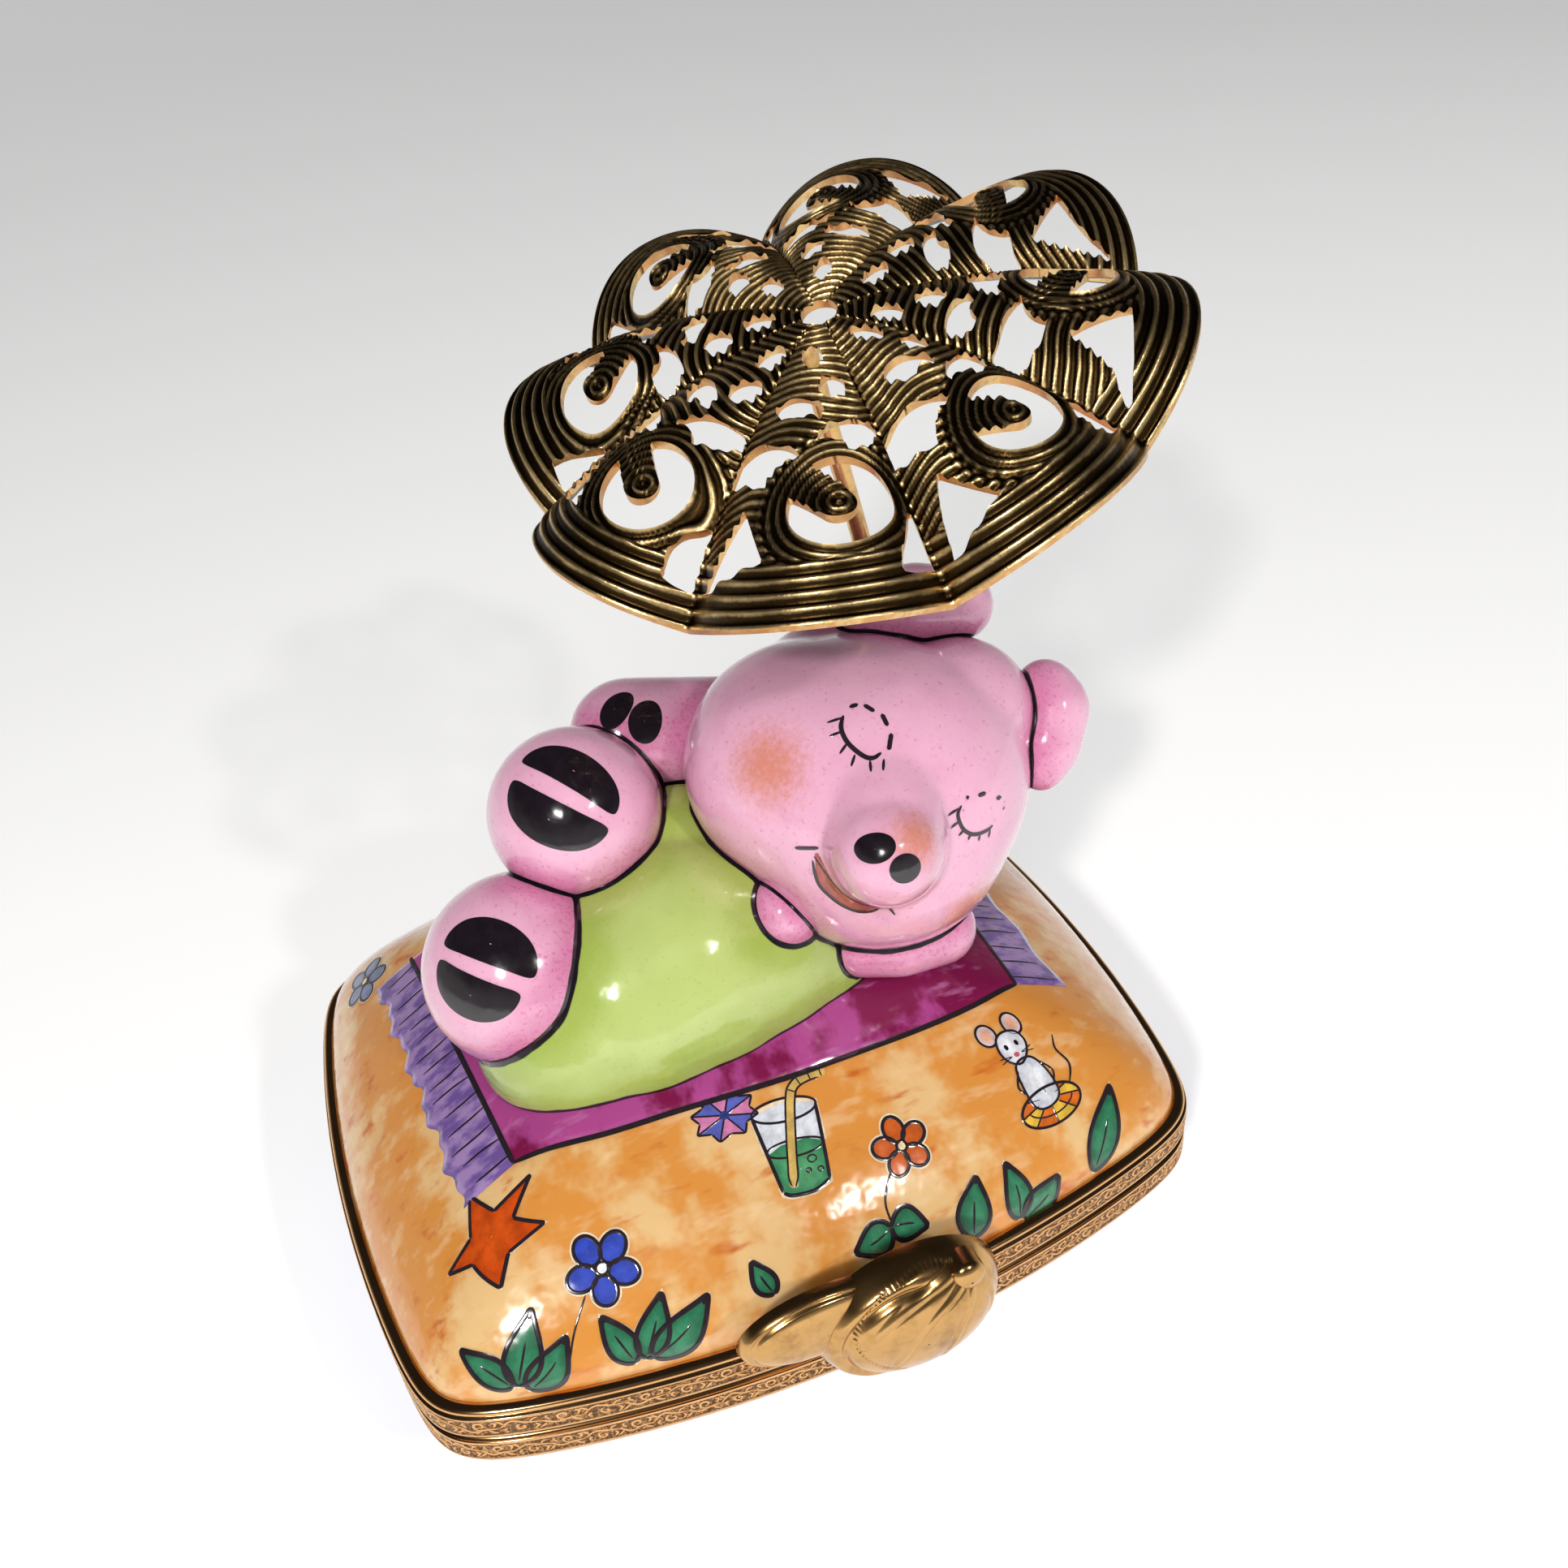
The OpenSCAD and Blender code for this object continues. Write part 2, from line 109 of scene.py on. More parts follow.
def hump(x, middle, width):
    """A bell that is 1 at its middle."""
    return np.exp(-(((x - middle) / width) ** 2))


def way_along(points):
    """Length along a line of points, up to each of them."""
    return np.concatenate([[0], np.cumsum(np.linalg.norm(np.diff(points, axis=0), axis=1))])


# ---- the cushion-shaped outline and the dome ----


def to_bowed_side(c, reach, half_span, bow):
    arc_r = (half_span**2 + bow**2) / (2 * bow)
    back = reach - arc_r
    return c * back + np.sqrt(c * c * back * back - back * back + arc_r * arc_r)


def outline_r(angle, grow=0.0):
    """Radius of the outline at an angle in radians."""
    to_end = to_bowed_side(np.abs(np.cos(angle)), BOX_LENGTH / 2 + grow, BOX_DEPTH / 2, END_BOW)
    to_side = to_bowed_side(np.abs(np.sin(angle)), BOX_DEPTH / 2 + grow, BOX_LENGTH / 2, SIDE_BOW)
    return (to_end**-CORNER_POWER + to_side**-CORNER_POWER) ** (-1 / CORNER_POWER)


def ring(share, z, angles, grow=0.0):
    r = outline_r(angles, grow) * share
    return np.stack([r * np.cos(angles), r * np.sin(angles), np.full_like(r, z)], -1)


def measured_outline(grow=0.0, count=20001):
    """Angles round the outline, and the length along it up to each."""
    fine = np.linspace(0, 2 * np.pi, count)
    return fine, way_along(ring(1, 0, fine, grow))


def outline_angles(count):
    """Angles that are evenly spaced along the outline's length."""
    fine, run = measured_outline()
    return np.interp(np.arange(count) / count * run[-1], run, fine)


def dome_z(share, height=DOME_HEIGHT):
    return height * np.maximum(0, 1 - np.maximum(share, 0) ** DOME_POWER) ** DOME_FALL


def share_of(x, y):
    return np.hypot(x, y) / outline_r(np.arctan2(y, x))


def lid_z(x, y):
    share = share_of(x, y)
    return np.where(share > 1, 0.0, RIM_TOP + dome_z(np.minimum(share, 1)))


def lid_normal(points):
    """Outward normal of the dome at points on it."""
    h = 0.02
    x, y = points[:, 0], points[:, 1]
    inward = np.minimum(1, 0.998 / np.maximum(share_of(x, y), 1e-6))
    x, y = x * inward, y * inward
    dx = (lid_z(x + h, y) - lid_z(x - h, y)) / (2 * h)
    dy = (lid_z(x, y + h) - lid_z(x, y - h)) / (2 * h)
    return unit(np.stack([-dx, -dy, np.ones_like(dx)], -1))


def on_lid(points, lift=0.0):
    """Moves points along lines from the middle of the lid's base onto its dome."""
    base = np.array([0, 0, RIM_TOP])
    q = np.asarray(points, float) - base
    q[:, 2] = np.maximum(q[:, 2], 0.02)
    share = np.maximum(share_of(q[:, 0], q[:, 1]), 1e-6)
    low = np.zeros(len(q))
    high = 1 / share
    for _ in range(40):
        mid = (low + high) / 2
        under = dome_z(mid * share) > mid * q[:, 2]
        low = np.where(under, mid, low)
        high = np.where(under, high, mid)
    hit = base + q * low[:, None]
    return hit + lid_normal(hit) * np.reshape(lift, (-1, 1))


# ---- meshes ----


def grid_faces(rows, cols, wrap=True):
    """Quads of a grid whose rows follow each other; wrap joins the last column to the first."""
    k, i = np.meshgrid(np.arange(rows - 1), np.arange(cols if wrap else cols - 1), indexing="ij")
    j = (i + 1) % cols
    quads = np.stack([k * cols + i, k * cols + j, (k + 1) * cols + j, (k + 1) * cols + i], -1)
    return quads.reshape(-1, 4)


def make_mesh(name, points, faces, material, **values):
    """A smooth mesh object. Each value is one number or one colour per point."""
    mesh = bpy.data.meshes.new(name)
    if isinstance(faces, np.ndarray):
        faces = faces.tolist()
    mesh.from_pydata((np.asarray(points, float) * MM).tolist(), [], faces)
    mesh.polygons.foreach_set("use_smooth", np.ones(len(mesh.polygons), bool))
    for key, data in values.items():
        data = np.asarray(data, np.float32)
        kind, field = "FLOAT", "value"
        if data.ndim == 2:
            kind, field = "FLOAT_COLOR", "color"
            data = np.concatenate([data, np.ones((len(data), 1), np.float32)], 1)
        mesh.attributes.new(key, kind, "POINT").data.foreach_set(field, data.ravel())
    mesh.materials.append(material)
    mesh.update()
    obj = bpy.data.objects.new(name, mesh)
    bpy.context.scene.collection.objects.link(obj)
    return obj


def place(obj, body, slot, *replaced):
    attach(obj, body)
    if replaced:
        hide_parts(*replaced)


class Sheet:
    """Gathers small patches of points and faces into one mesh."""

    def __init__(self):
        self.points, self.faces, self.values = [], [], {}
        self.count = 0

    def add(self, points, faces, **values):
        self.points.append(points)
        self.faces.extend((np.asarray(faces) + self.count).tolist())
        self.count += len(points)
        for key, data in values.items():
            self.values.setdefault(key, []).append(data)

    def build(self, name, material):
        values = {key: np.concatenate(data) for key, data in self.values.items()}
        return make_mesh(name, np.concatenate(self.points), self.faces, material, **values)


# ---- materials ----

GLAZE = {"Roughness": 0.16, "Coat_Weight": 0.7, "Coat_Roughness": 0.04, "Specular_IOR_Level": 0.5}
GLAZE_RIPPLE = 0.096
INK = (0.012, 0.008, 0.012)


class Nodes:
    """Adds nodes to one tree. Each method but add gives the socket with the result."""

    def __init__(self, tree):
        self.tree = tree

    def feed(self, socket, value):
        if isinstance(value, bpy.types.NodeSocket):
            self.tree.links.new(value, socket)
        elif isinstance(value, tuple) and socket.type == "RGBA":
            socket.default_value = (*value, 1)
        else:
            socket.default_value = value

    def add(self, kind, inputs=None, **settings):
        made = self.tree.nodes.new("ShaderNode" + kind)
        for key, value in settings.items():
            setattr(made, key, value)
        for key, value in (inputs or {}).items():
            self.feed(made.inputs[key], value)
        return made

    def math(self, operation, *values, clamp=False):
        inputs = dict(enumerate(values))
        return self.add("Math", inputs, operation=operation, use_clamp=clamp).outputs[0]

    def times(self, a, b):
        return self.math("MULTIPLY", a, b)

    def plus(self, a, b):
        return self.math("ADD", a, b)

    def mix(self, factor, a, b, blend="MIX"):
        return self.add("Mix", {0: factor, 6: a, 7: b}, data_type="RGBA", blend_type=blend).outputs[2]

    def places(self, stretch=(1, 1, 1)):
        """Places on the object, in millimetres."""
        coords = self.add("TexCoord").outputs["Object"]
        scale = tuple(1000 * s for s in stretch)
        return self.add("Mapping", {"Vector": coords, "Scale": scale}).outputs[0]

    def noise(self, per_mm, detail=3.0, stretch=(1, 1, 1), roughness=0.5, offset=0.0):
        where = self.places(stretch)
        if offset:
            where = self.add("VectorMath", {0: where, 1: (offset, offset, offset)}).outputs[0]
        inputs = {"Vector": where, "Scale": per_mm, "Detail": detail, "Roughness": roughness}
        return self.add("TexNoise", inputs).outputs["Fac"]

    def step(self, value, low, high):
        """0 at low and 1 at high, with a soft start and end."""
        inputs = {"Value": value, "From Min": low, "From Max": high}
        return self.add("MapRange", inputs, interpolation_type="SMOOTHSTEP").outputs[0]

    def stored(self, name, output="Fac"):
        return self.add("Attribute", attribute_name=name).outputs[output]

    def bump(self, height, distance, strength=1.0):
        inputs = {"Height": height, "Distance": distance * MM, "Strength": strength}
        return self.add("Bump", inputs).outputs[0]


class Paint(Nodes):
    """A material and its Principled shader, with fixed values set on its own sockets."""

    def __init__(self, name, **settings):
        self.material = bpy.data.materials.new(name)
        self.material.use_nodes = True
        super().__init__(self.material.node_tree)
        self.shader = self.tree.nodes["Principled BSDF"]
        for key, value in settings.items():
            self.set(key.replace("_", " "), value)

    def set(self, socket, value):
        self.feed(self.shader.inputs[socket], value)

    def colour(self, value):
        self.set("Base Color", value)

    def rough(self, value, spread, base):
        """Roughness that varies with a value."""
        self.set("Roughness", self.math("MULTIPLY_ADD", value, spread, base))

    def glazed(self):
        """The faint unevenness of a fired glaze."""
        normal = self.bump(self.noise(0.45, 2.0), GLAZE_RIPPLE)
        self.set("Normal", normal)
        self.set("Coat Normal", normal)
        self.rough(self.noise(1.3, 3.0), 0.12, 0.10)
        return self.material


def plain_white(mat, patches):
    return mat.mix(mat.step(patches, 0.3, 0.7), (0.90, 0.90, 0.87), (0.86, 0.86, 0.84))


def lid_glaze_material():
    mat = Paint("lid_glaze", **GLAZE)
    patches = mat.noise(0.16, 4.0, (1, 1, 0.7), 0.6)
    strokes = mat.noise(0.55, 3.0, (0.35, 1, 1), 0.6, 7.0)
    cream, amber, rust = (0.75, 0.49, 0.22), (0.67, 0.27, 0.05), (0.55, 0.13, 0.016)
    pale = (0.86, 0.64, 0.38)
    wash = mat.mix(mat.step(patches, 0.38, 0.56), cream, amber)
    wash = mat.mix(mat.step(strokes, 0.56, 0.74), wash, rust)
    wash = mat.mix(mat.times(mat.step(strokes, 0.46, 0.30), 0.35), wash, pale)
    mat.colour(mat.mix(mat.stored("inner"), wash, plain_white(mat, patches)))
    return mat.glazed()


def base_glaze_material():
    mat = Paint("base_glaze", **GLAZE)
    patches = mat.noise(0.3, 4.0, (1, 1, 0.6), 0.6)
    blue = mat.mix(mat.step(patches, 0.35, 0.65), (0.03, 0.05, 0.27), (0.10, 0.16, 0.50))
    mat.colour(mat.mix(mat.stored("inner"), blue, plain_white(mat, patches)))
    return mat.glazed()


def pig_material(name, light, deep, speck):
    """Glazed figure: painted shade darkens it where pieces meet and near the lid; speckled, with a painted
    outline where pieces meet.
    """
    mat = Paint(name, **GLAZE)
    gap = mat.stored("gap")
    # painted shade: within a few millimetres of another piece or of the lid the colour turns to the deep
    # tone, mixed with random mottling
    edge = mat.step(gap, 4.5, 0.2)
    tone = mat.plus(mat.times(edge, 0.45), mat.times(mat.noise(0.35, 3.0), 0.55))
    colour = mat.mix(mat.step(tone, 0.22, 0.80), light, deep)
    # the dark speckles also gather a little in that painted shade
    dots = mat.plus(mat.noise(3.2, 2.0, roughness=0.7), mat.times(edge, 0.10))
    colour = mat.mix(mat.times(mat.step(dots, 0.60, 0.74), 0.42), colour, speck)
    blush = mat.plus(mat.stored("blush"), mat.noise(2.4, 3.0, roughness=0.7, offset=3.0))
    colour = mat.mix(mat.times(mat.step(blush, 0.60, 1.60), 0.85), colour, (0.60, 0.20, 0.10))
    wobble = mat.times(mat.noise(0.6, 1.0, offset=5.0), 0.22)
    mat.colour(mat.mix(mat.step(mat.plus(gap, wobble), 0.50, 0.40), colour, INK))
    return mat.glazed()


def paint_material():
    """Enamel paint in the colour stored on the mesh, a little streaky."""
    mat = Paint("motif_paint", **GLAZE)
    streak = mat.step(mat.noise(1.1, 4.0, (1, 1, 0.5), 0.65), 0.3, 0.7)
    shade = mat.mix(streak, (0.72, 0.72, 0.72), (1.12, 1.12, 1.12))
    mat.colour(mat.mix(1.0, mat.stored("tint", "Color"), shade, "MULTIPLY"))
    return mat.glazed()


def ink_material():
    mat = Paint("ink_line", **GLAZE)
    mat.colour(mat.mix(mat.noise(1.5), INK, (0.03, 0.02, 0.025)))
    return mat.glazed()


def towel_material():
    mat = Paint("towel_glaze", **GLAZE)
    maroon_share = mat.noise(0.22, 4.0, (1, 0.6, 1), 0.6)
    streak = mat.noise(0.9, 3.0, (0.3, 1, 1), 0.6, 2.0)
    magenta, maroon, rose = (0.39, 0.06, 0.25), (0.19, 0.008, 0.06), (0.48, 0.16, 0.36)
    violet, lilac = (0.15, 0.085, 0.30), (0.34, 0.22, 0.46)
    across = mat.add("SeparateXYZ", {0: mat.places()}).outputs[0]
    # the cloth turns more maroon towards its right side
    maroon_share = mat.plus(maroon_share, mat.times(mat.step(across, 2.0, 16.0), 0.22))
    cloth = mat.mix(mat.step(maroon_share, 0.48, 0.62), magenta, maroon)
    cloth = mat.mix(mat.times(mat.step(streak, 0.55, 0.72), 0.6), cloth, rose)
    fringe = mat.mix(mat.step(streak, 0.38, 0.60), violet, lilac)
    mat.colour(mat.mix(mat.stored("fringe"), cloth, fringe))
    return mat.glazed()


def gilt_material(name, colour, shadow, roughness, grain=0.25):
    """Gilt brass: bright and brown in cloudy patches, with a fine grain."""
    mat = Paint(name, Metallic=1.0)
    cloud = mat.noise(0.5, 5.0, roughness=0.65)
    mat.colour(mat.mix(mat.step(cloud, 0.42, 0.78), colour, shadow))
    mat.rough(cloud, 0.16, roughness - 0.08)
    mat.set("Normal", mat.bump(mat.noise(7.0, 2.0), 0.012, grain))
    return mat.material


def etched_material():
    """The etched band: bright relief over a stippled, darker ground."""
    mat = Paint("etched_gilt", Metallic=1.0)
    ground = mat.stored("ground")
    stipple = mat.noise(4.5, 2.0, roughness=0.8)
    between = mat.math("SUBTRACT", 1.0, mat.step(stipple, 0.46, 0.62), clamp=True)
    tone = mat.mix(mat.noise(0.4, 4.0), (0.88, 0.53, 0.24), (0.62, 0.32, 0.13))
    mat.colour(mat.mix(mat.times(mat.times(ground, between), 0.85), tone, (0.07, 0.025, 0.008)))
    mat.rough(ground, 0.22, 0.14)
    mat.set("Normal", mat.bump(mat.times(stipple, ground), 0.45, 1.0))
    return mat.material


def canopy_material():
    """Dark antique brass: dark in the hollows, bright on the ridges (partly rubbed wear and partly painted
    highlight), and bright at the cut edges.
    """
    mat = Paint("old_brass", Metallic=1.0)
    cloud = mat.noise(0.35, 4.0, roughness=0.7)
    grit = mat.noise(3.0, 3.0, roughness=0.7, offset=4.0)
    # painted highlight: the ridge tops turn bright gold, partly rubbed wear and partly a painted highlight;
    # the hollows stay dark
    rub_and_highlight = mat.plus(mat.times(mat.stored("ridge"), 0.65), mat.times(cloud, 0.55))
    tone = mat.mix(mat.step(rub_and_highlight, 0.57, 1.0), (0.040, 0.022, 0.007), (0.95, 0.68, 0.32))
    tone = mat.mix(mat.times(mat.step(grit, 0.5, 0.7), 0.35), tone, (0.05, 0.032, 0.012))
    worn = mat.times(mat.stored("cut"), mat.step(cloud, 0.36, 0.56))
    mat.colour(mat.mix(worn, tone, (0.62, 0.34, 0.14)))
    mat.rough(grit, 0.25, 0.22)
    mat.set("Normal", mat.bump(grit, 0.05, 0.5))
    return mat.material


# ---- the porcelain shells ----


class Rings:
    """Rings of the outline stacked into a closed wall; inner marks the inside."""

    def __init__(self, count):
        self.angles = outline_angles(count)
        self.rings, self.inner = [], []

    def add(self, share, z, grow=0.0, is_inner=0):
        self.rings.append(ring(share, z, self.angles, grow))
        self.inner.append(np.full(len(self.angles), float(is_inner)))

    def build(self, name, material):
        n = len(self.angles)
        faces = grid_faces(len(self.rings), n).tolist()
        faces.append(list(range(n))[::-1])
        faces.append([(len(self.rings) - 1) * n + i for i in range(n)])
        return make_mesh(name, np.concatenate(self.rings), faces, material, inner=np.concatenate(self.inner))


def build_lid(material):
    wall = Rings(640)
    bottom = SEAM_Z + HALF_SEAM + LIP_T + FIT_GAP
    for share in np.linspace(0.004, 0.88, 24):
        wall.add(share, RIM_TOP - 0.5 + dome_z(share / 0.93, DOME_HEIGHT - WALL - 0.3), is_inner=1)
    for z, grow, is_inner in ((RIM_TOP - 1.2, -WALL, 1), (bottom, -WALL, 1), (bottom, -FIT_GAP, 0)):
        wall.add(1, z, grow, is_inner)
    for steep in np.linspace(0, 1, 110):
        share = 1 - 0.996 * steep**1.9
        wall.add(share, RIM_TOP + dome_z(share), -FIT_GAP * (1 - steep))
    place(wall.build("lid_dome", material), "lid", "sand_porcelain", "lid_shell")


FOOT = ((0.01, 0.6), (0.57, 0.6), (0.585, 0.0))  # share of the outline, and height
BOWL_OUTSIDE = ((0.62, 0), (0.63, 0.06), (0.66, 0.25), (0.74, 1.6), (0.82, 3.9), (0.89, 6.4), (0.945, 8.8),
                (0.985, 10.8))
BOWL_INSIDE = ((0.91, 10.8), (0.87, 8.8), (0.81, 6.4), (0.735, 4.3), (0.65, 2.9), (0.5, 2.2), (0.3, 2.2),
               (0.01, 2.2))


def build_base(material):
    wall = Rings(720)
    top = RIM_BOTTOM - LIP_T + RIM_HEIGHT - HALF_SEAM - 0.05

    def add_curve(profile, is_inner):
        profile = np.array(profile)
        run = way_along(profile * [25, 1])
        at = np.linspace(0, run[-1], 34)
        for share, z in zip(np.interp(at, run, profile[:, 0]), np.interp(at, run, profile[:, 1])):
            wall.add(share, z, is_inner=is_inner)

    for share, z in FOOT:
        wall.add(share, z)
    add_curve(BOWL_OUTSIDE, 0)
    for z, is_inner in ((RIM_BOTTOM, 0), (top, 0), (top, 1), (RIM_BOTTOM, 1)):
        wall.add(1, z, -WALL if is_inner else -0.35, is_inner)
    add_curve(BOWL_INSIDE, 1)
    place(wall.build("base_cup", material), "base", "sea_porcelain", "base_shell")


# ---- the gilt rims ----

RIM_PROFILE = (  # how far out, and how far from the seam
    (-2.2, 0.56), (-2.2, 0.06), (0.44, 0.06), (0.50, 0.12), (0.50, 0.30), (0.80, 0.32), (0.88, 0.36),
    (0.90, 0.44), (0.90, 0.56), (0.86, 0.62), (0.85, 0.9), (0.85, 1.3), (0.85, 1.7), (0.86, 2.08),
    (0.90, 2.14), (0.90, 2.24), (0.84, 2.30), (0.66, 2.33), (0.62, 2.38), (0.70, 2.43), (0.74, 2.52),
    (0.72, 2.64), (0.62, 2.76), (0.46, 2.84), (0.24, 2.88), (0.05, 2.89), (-0.02, 2.86), (-0.02, 0.56),
    (-2.2, 0.56),
)
BAND_OUT = 0.85
BAND_LOW = 0.62
BAND_HIGH = 2.08


def rim_mesh(sheet, side):
    """The swept rim; side is 1 on the lid and -1 on the base."""
    angles = outline_angles(1000)
    rings, ground = [], []
    for out, up in RIM_PROFILE:
        rings.append(ring(1, SEAM_Z + side * up, angles, out))
        ground.append(np.full(len(angles), float(out > 0 and BAND_LOW <= up <= BAND_HIGH)))
    faces = grid_faces(len(rings), len(angles))
    if side < 0:
        faces = faces[:, ::-1]
    sheet.add(np.concatenate(rings), faces, ground=np.concatenate(ground))


def band_points(run, up, lift, side, total):
    """Points on the etched band: run is the way along it and up the height over the seam."""
    fine, length = measured_outline(BAND_OUT, 8001)
    angle = np.interp(np.mod(run, total) / total * length[-1], length, fine)
    r = outline_r(angle, BAND_OUT + lift)
    return np.stack([r * np.cos(angle), r * np.sin(angle), SEAM_Z + side * up], -1)


def spline(points, step_mm=0.12):
    """A smooth curve through the given points, evenly spaced."""
    p = np.asarray(points, float)
    if len(p) == 2:
        count = max(2, int(np.linalg.norm(p[1] - p[0]) / step_mm) + 1)
        return p[0] + (p[1] - p[0]) * np.linspace(0, 1, count)[:, None]
    p = np.concatenate([[2 * p[0] - p[1]], p, [2 * p[-1] - p[-2]]])
    t = np.linspace(0, 1, 16, endpoint=False)[:, None]
    out = []
    for a, b, c, d in zip(p, p[1:], p[2:], p[3:]):
        bend, twist = 2 * a - 5 * b + 4 * c - d, 3 * b - a - 3 * c + d
        out.append(0.5 * (2 * b + (c - a) * t + bend * t**2 + twist * t**3))
    out = np.concatenate(out + [p[-2][None]])
    run = way_along(out)
    at = np.linspace(0, run[-1], max(3, int(run[-1] / step_mm) + 1))
    return np.stack([np.interp(at, run, column) for column in out.T], -1)


def ribbon(curve, width, taper=0.35, closed=False):
    """Points left of, on and right of a flat curve, and its faces; the ends are tapered."""
    n = len(curve)
    half = np.full(n, width / 2)
    if closed:
        way = np.roll(curve, -1, 0) - np.roll(curve, 1, 0)
    else:
        way = np.gradient(curve, axis=0)
        t = np.linspace(0, 1, n)
        half = half * (0.35 + 0.65 * np.sqrt(np.clip(np.minimum(t, 1 - t) / taper, 0, 1)))
    out = unit(way)[:, ::-1] * [-1, 1] * half[:, None]
    rows = np.stack([curve - out, curve, curve + out], 1).reshape(-1, 2)
    k, c = np.meshgrid(np.arange(n if closed else n - 1), np.arange(2), indexing="ij")
    a, b = k * 3 + c, (k + 1) % n * 3 + c
    faces = np.stack([a + 1, b + 1, b, a], -1).reshape(-1, 4)
    return rows, np.tile([0.0, 1.0, 0.0], n), faces


def curl(cx, cy, r, start, turns, inner_share=0.25):
    t = np.linspace(0, 1, 14)
    a = math.radians(start) + turns * 2 * np.pi * t
    radius = r * (1 - (1 - inner_share) * t)
    return np.stack([cx + radius * np.cos(a), cy + radius * np.sin(a)], -1)


def etch_band(sheet, side, total, pitch):
    """A vine with curls and leaves, raised all round the band."""
    units = int(round(total / pitch))
    pitch = total / units
    middle = (BAND_LOW + BAND_HIGH) / 2
    rng = np.random.default_rng(4 + side)
    for k in range(units):
        x0 = k * pitch
        flip = 1 if k % 2 else -1
        j = rng.uniform(-0.12, 0.12, 6)
        vine = (
            ((0, -0.1), (0.3, 0.42 + j[0]), (0.62, 0.2), (1, 0.1)),
            ((0.12, 0.2), (0.02, 0.5), (-0.08, 0.62)),
            ((0.72, 0.22), (0.82, 0.5), (0.95, 0.6 + j[2] * 0.3)),
            ((0.85, -0.05), (0.92, -0.35), (0.82, -0.6)),
            ((0.2, -0.1), (0.1, -0.4), (0.18, -0.62)),
        )
        curves = [[(x0 + pitch * along, middle + flip * up) for along, up in curve] for curve in vine]
        curl_r = 0.42 + j[1] * 0.5
        curves.insert(1, curl(x0 + pitch * 0.52, middle - flip * 0.22, curl_r, 90 * flip, 1.1 * flip))
        for curve in curves:
            flat, height, faces = ribbon(spline(curve, 0.16), 0.20)
            points = band_points(flat[:, 0], flat[:, 1], -0.02 + 0.09 * height, side, total)
            sheet.add(points, faces[:, ::side], ground=np.zeros(len(points)))


def build_rims(material):
    total = measured_outline()[1][-1]
    for name, side, body, replaced, pitch in (
        ("lid_bezel", 1, "lid", "lid_rim", 2.6),
        ("base_bezel", -1, "base", "base_rim", 2.2),
    ):
        sheet = Sheet()
        rim_mesh(sheet, side)
        etch_band(sheet, side, total, pitch)
        place(sheet.build(name, material), body, "gilt_brass", replaced)


# ---- the pig ----

HEAD_C = np.array([10.8, -3.6, RIM_TOP + 24])
HEAD_UP = np.array([0.755, 0.03, 0.655])
HEAD_SIDE = np.array([0.62, -0.35, -0.70])
HEAD_FACE = np.array([-0.21, -0.935, 0.285])
REACH_POWER = 30


def on_head(side, up, face):
    return HEAD_C + side * HEAD_SIDE + up * HEAD_UP + face * HEAD_FACE


def over_rim(x, y, z):
    return np.array([x, y, RIM_TOP + z], float)


def swelling(at, centre, *balls, chained=False):
    """A piece's centre and its balls; at turns the places given into places in the frame."""
    balls = [(at(*ball[:3]), ball[3]) for ball in balls]
    if chained:
        between = [balls[0]]
        for (a, r), (b, q) in zip(balls, balls[1:]):
            between.extend((a + (b - a) * k / 4, r + (q - r) * k / 4) for k in range(1, 5))
        balls = between
    return at(*centre), balls


PIG = {  # each ball is its place and its radius
    "body": swelling(
        over_rim, (-3, -3, 15.4), (-11, -3.6, 10.8, 7.8), (-7, -3.3, 12.2, 9), (-3, -2.7, 12.8, 9.5),
        (1, -2.4, 12.6, 9), (5, -2.2, 11.8, 8), (-1, 2, 17, 6.2)),
    "head": swelling(
        on_head, (0, 0.8, 0), (-3.2, -1.1, -0.9, 8.5), (0.3, 0.4, 0, 9.8), (2.6, -0.9, 1.1, 9.1),
        (2, 2.2, 0.3, 9.1), (2.8, 8.1, -0.6, 5.2), (-1.6, 2.9, -1.1, 6.6), (-4.8, 3.8, -4.5, 4.3),
        (-0.2, 1.0, 7.6, 3.7), (0.6, 0.1, 8.6, 3.8), (1.1, -0.7, 9.0, 3.9), (0.8, -0.6, 10.2, 3.45),
        (0.6, -0.5, 10.8, 3.1)),
    "ear_left": swelling(
        on_head, (-3.3, 11.5, -3.8), (-5.4, 8.9, -4, 2.2), (-3.5, 11.7, -3.9, 3), (-1.2, 13.7, -3.5, 2.5),
        chained=True),
    "ear_right": swelling(
        on_head, (8.2, 11.3, 0.1), (6.7, 13.1, -0.8, 2), (8, 12.5, -0.2, 2.4), (8.9, 10.3, 0.5, 2.4),
        (9.6, 8.8, 1, 1.6), chained=True),
    "leg_upper": swelling(
        over_rim, (-7, 3.8, 22.8), (-7.6, 2.5, 24, 6), (-6.7, 4.4, 22.3, 5.8), (-5.8, 6.2, 20.6, 5.4)),
    "leg_lower": swelling(
        over_rim, (-13.7, -0.6, 15), (-14.2, -2, 16, 6.7), (-13.5, -0.2, 14.6, 6.5), (-12.8, 1.6, 13.2, 6)),
    "arm_upper": swelling(
        over_rim, (1.4, 7.4, 24.6), (-2, 7.8, 25.4, 4), (1.75, 7.35, 24.5, 4), (5.5, 6.9, 23.6, 4),
        chained=True),
    "arm_lower": swelling(
        over_rim, (11.4, -9.8, 13.6), (8.4, -8.9, 14.1, 2.3), (10.9, -9.8, 14.2, 2.6), (14, -9.6, 13.8, 2.6),
        chained=True),
    "hand_lower": swelling(over_rim, (3, -8.2, 18.2), (3.4, -7.5, 18.3, 2.65)),
}
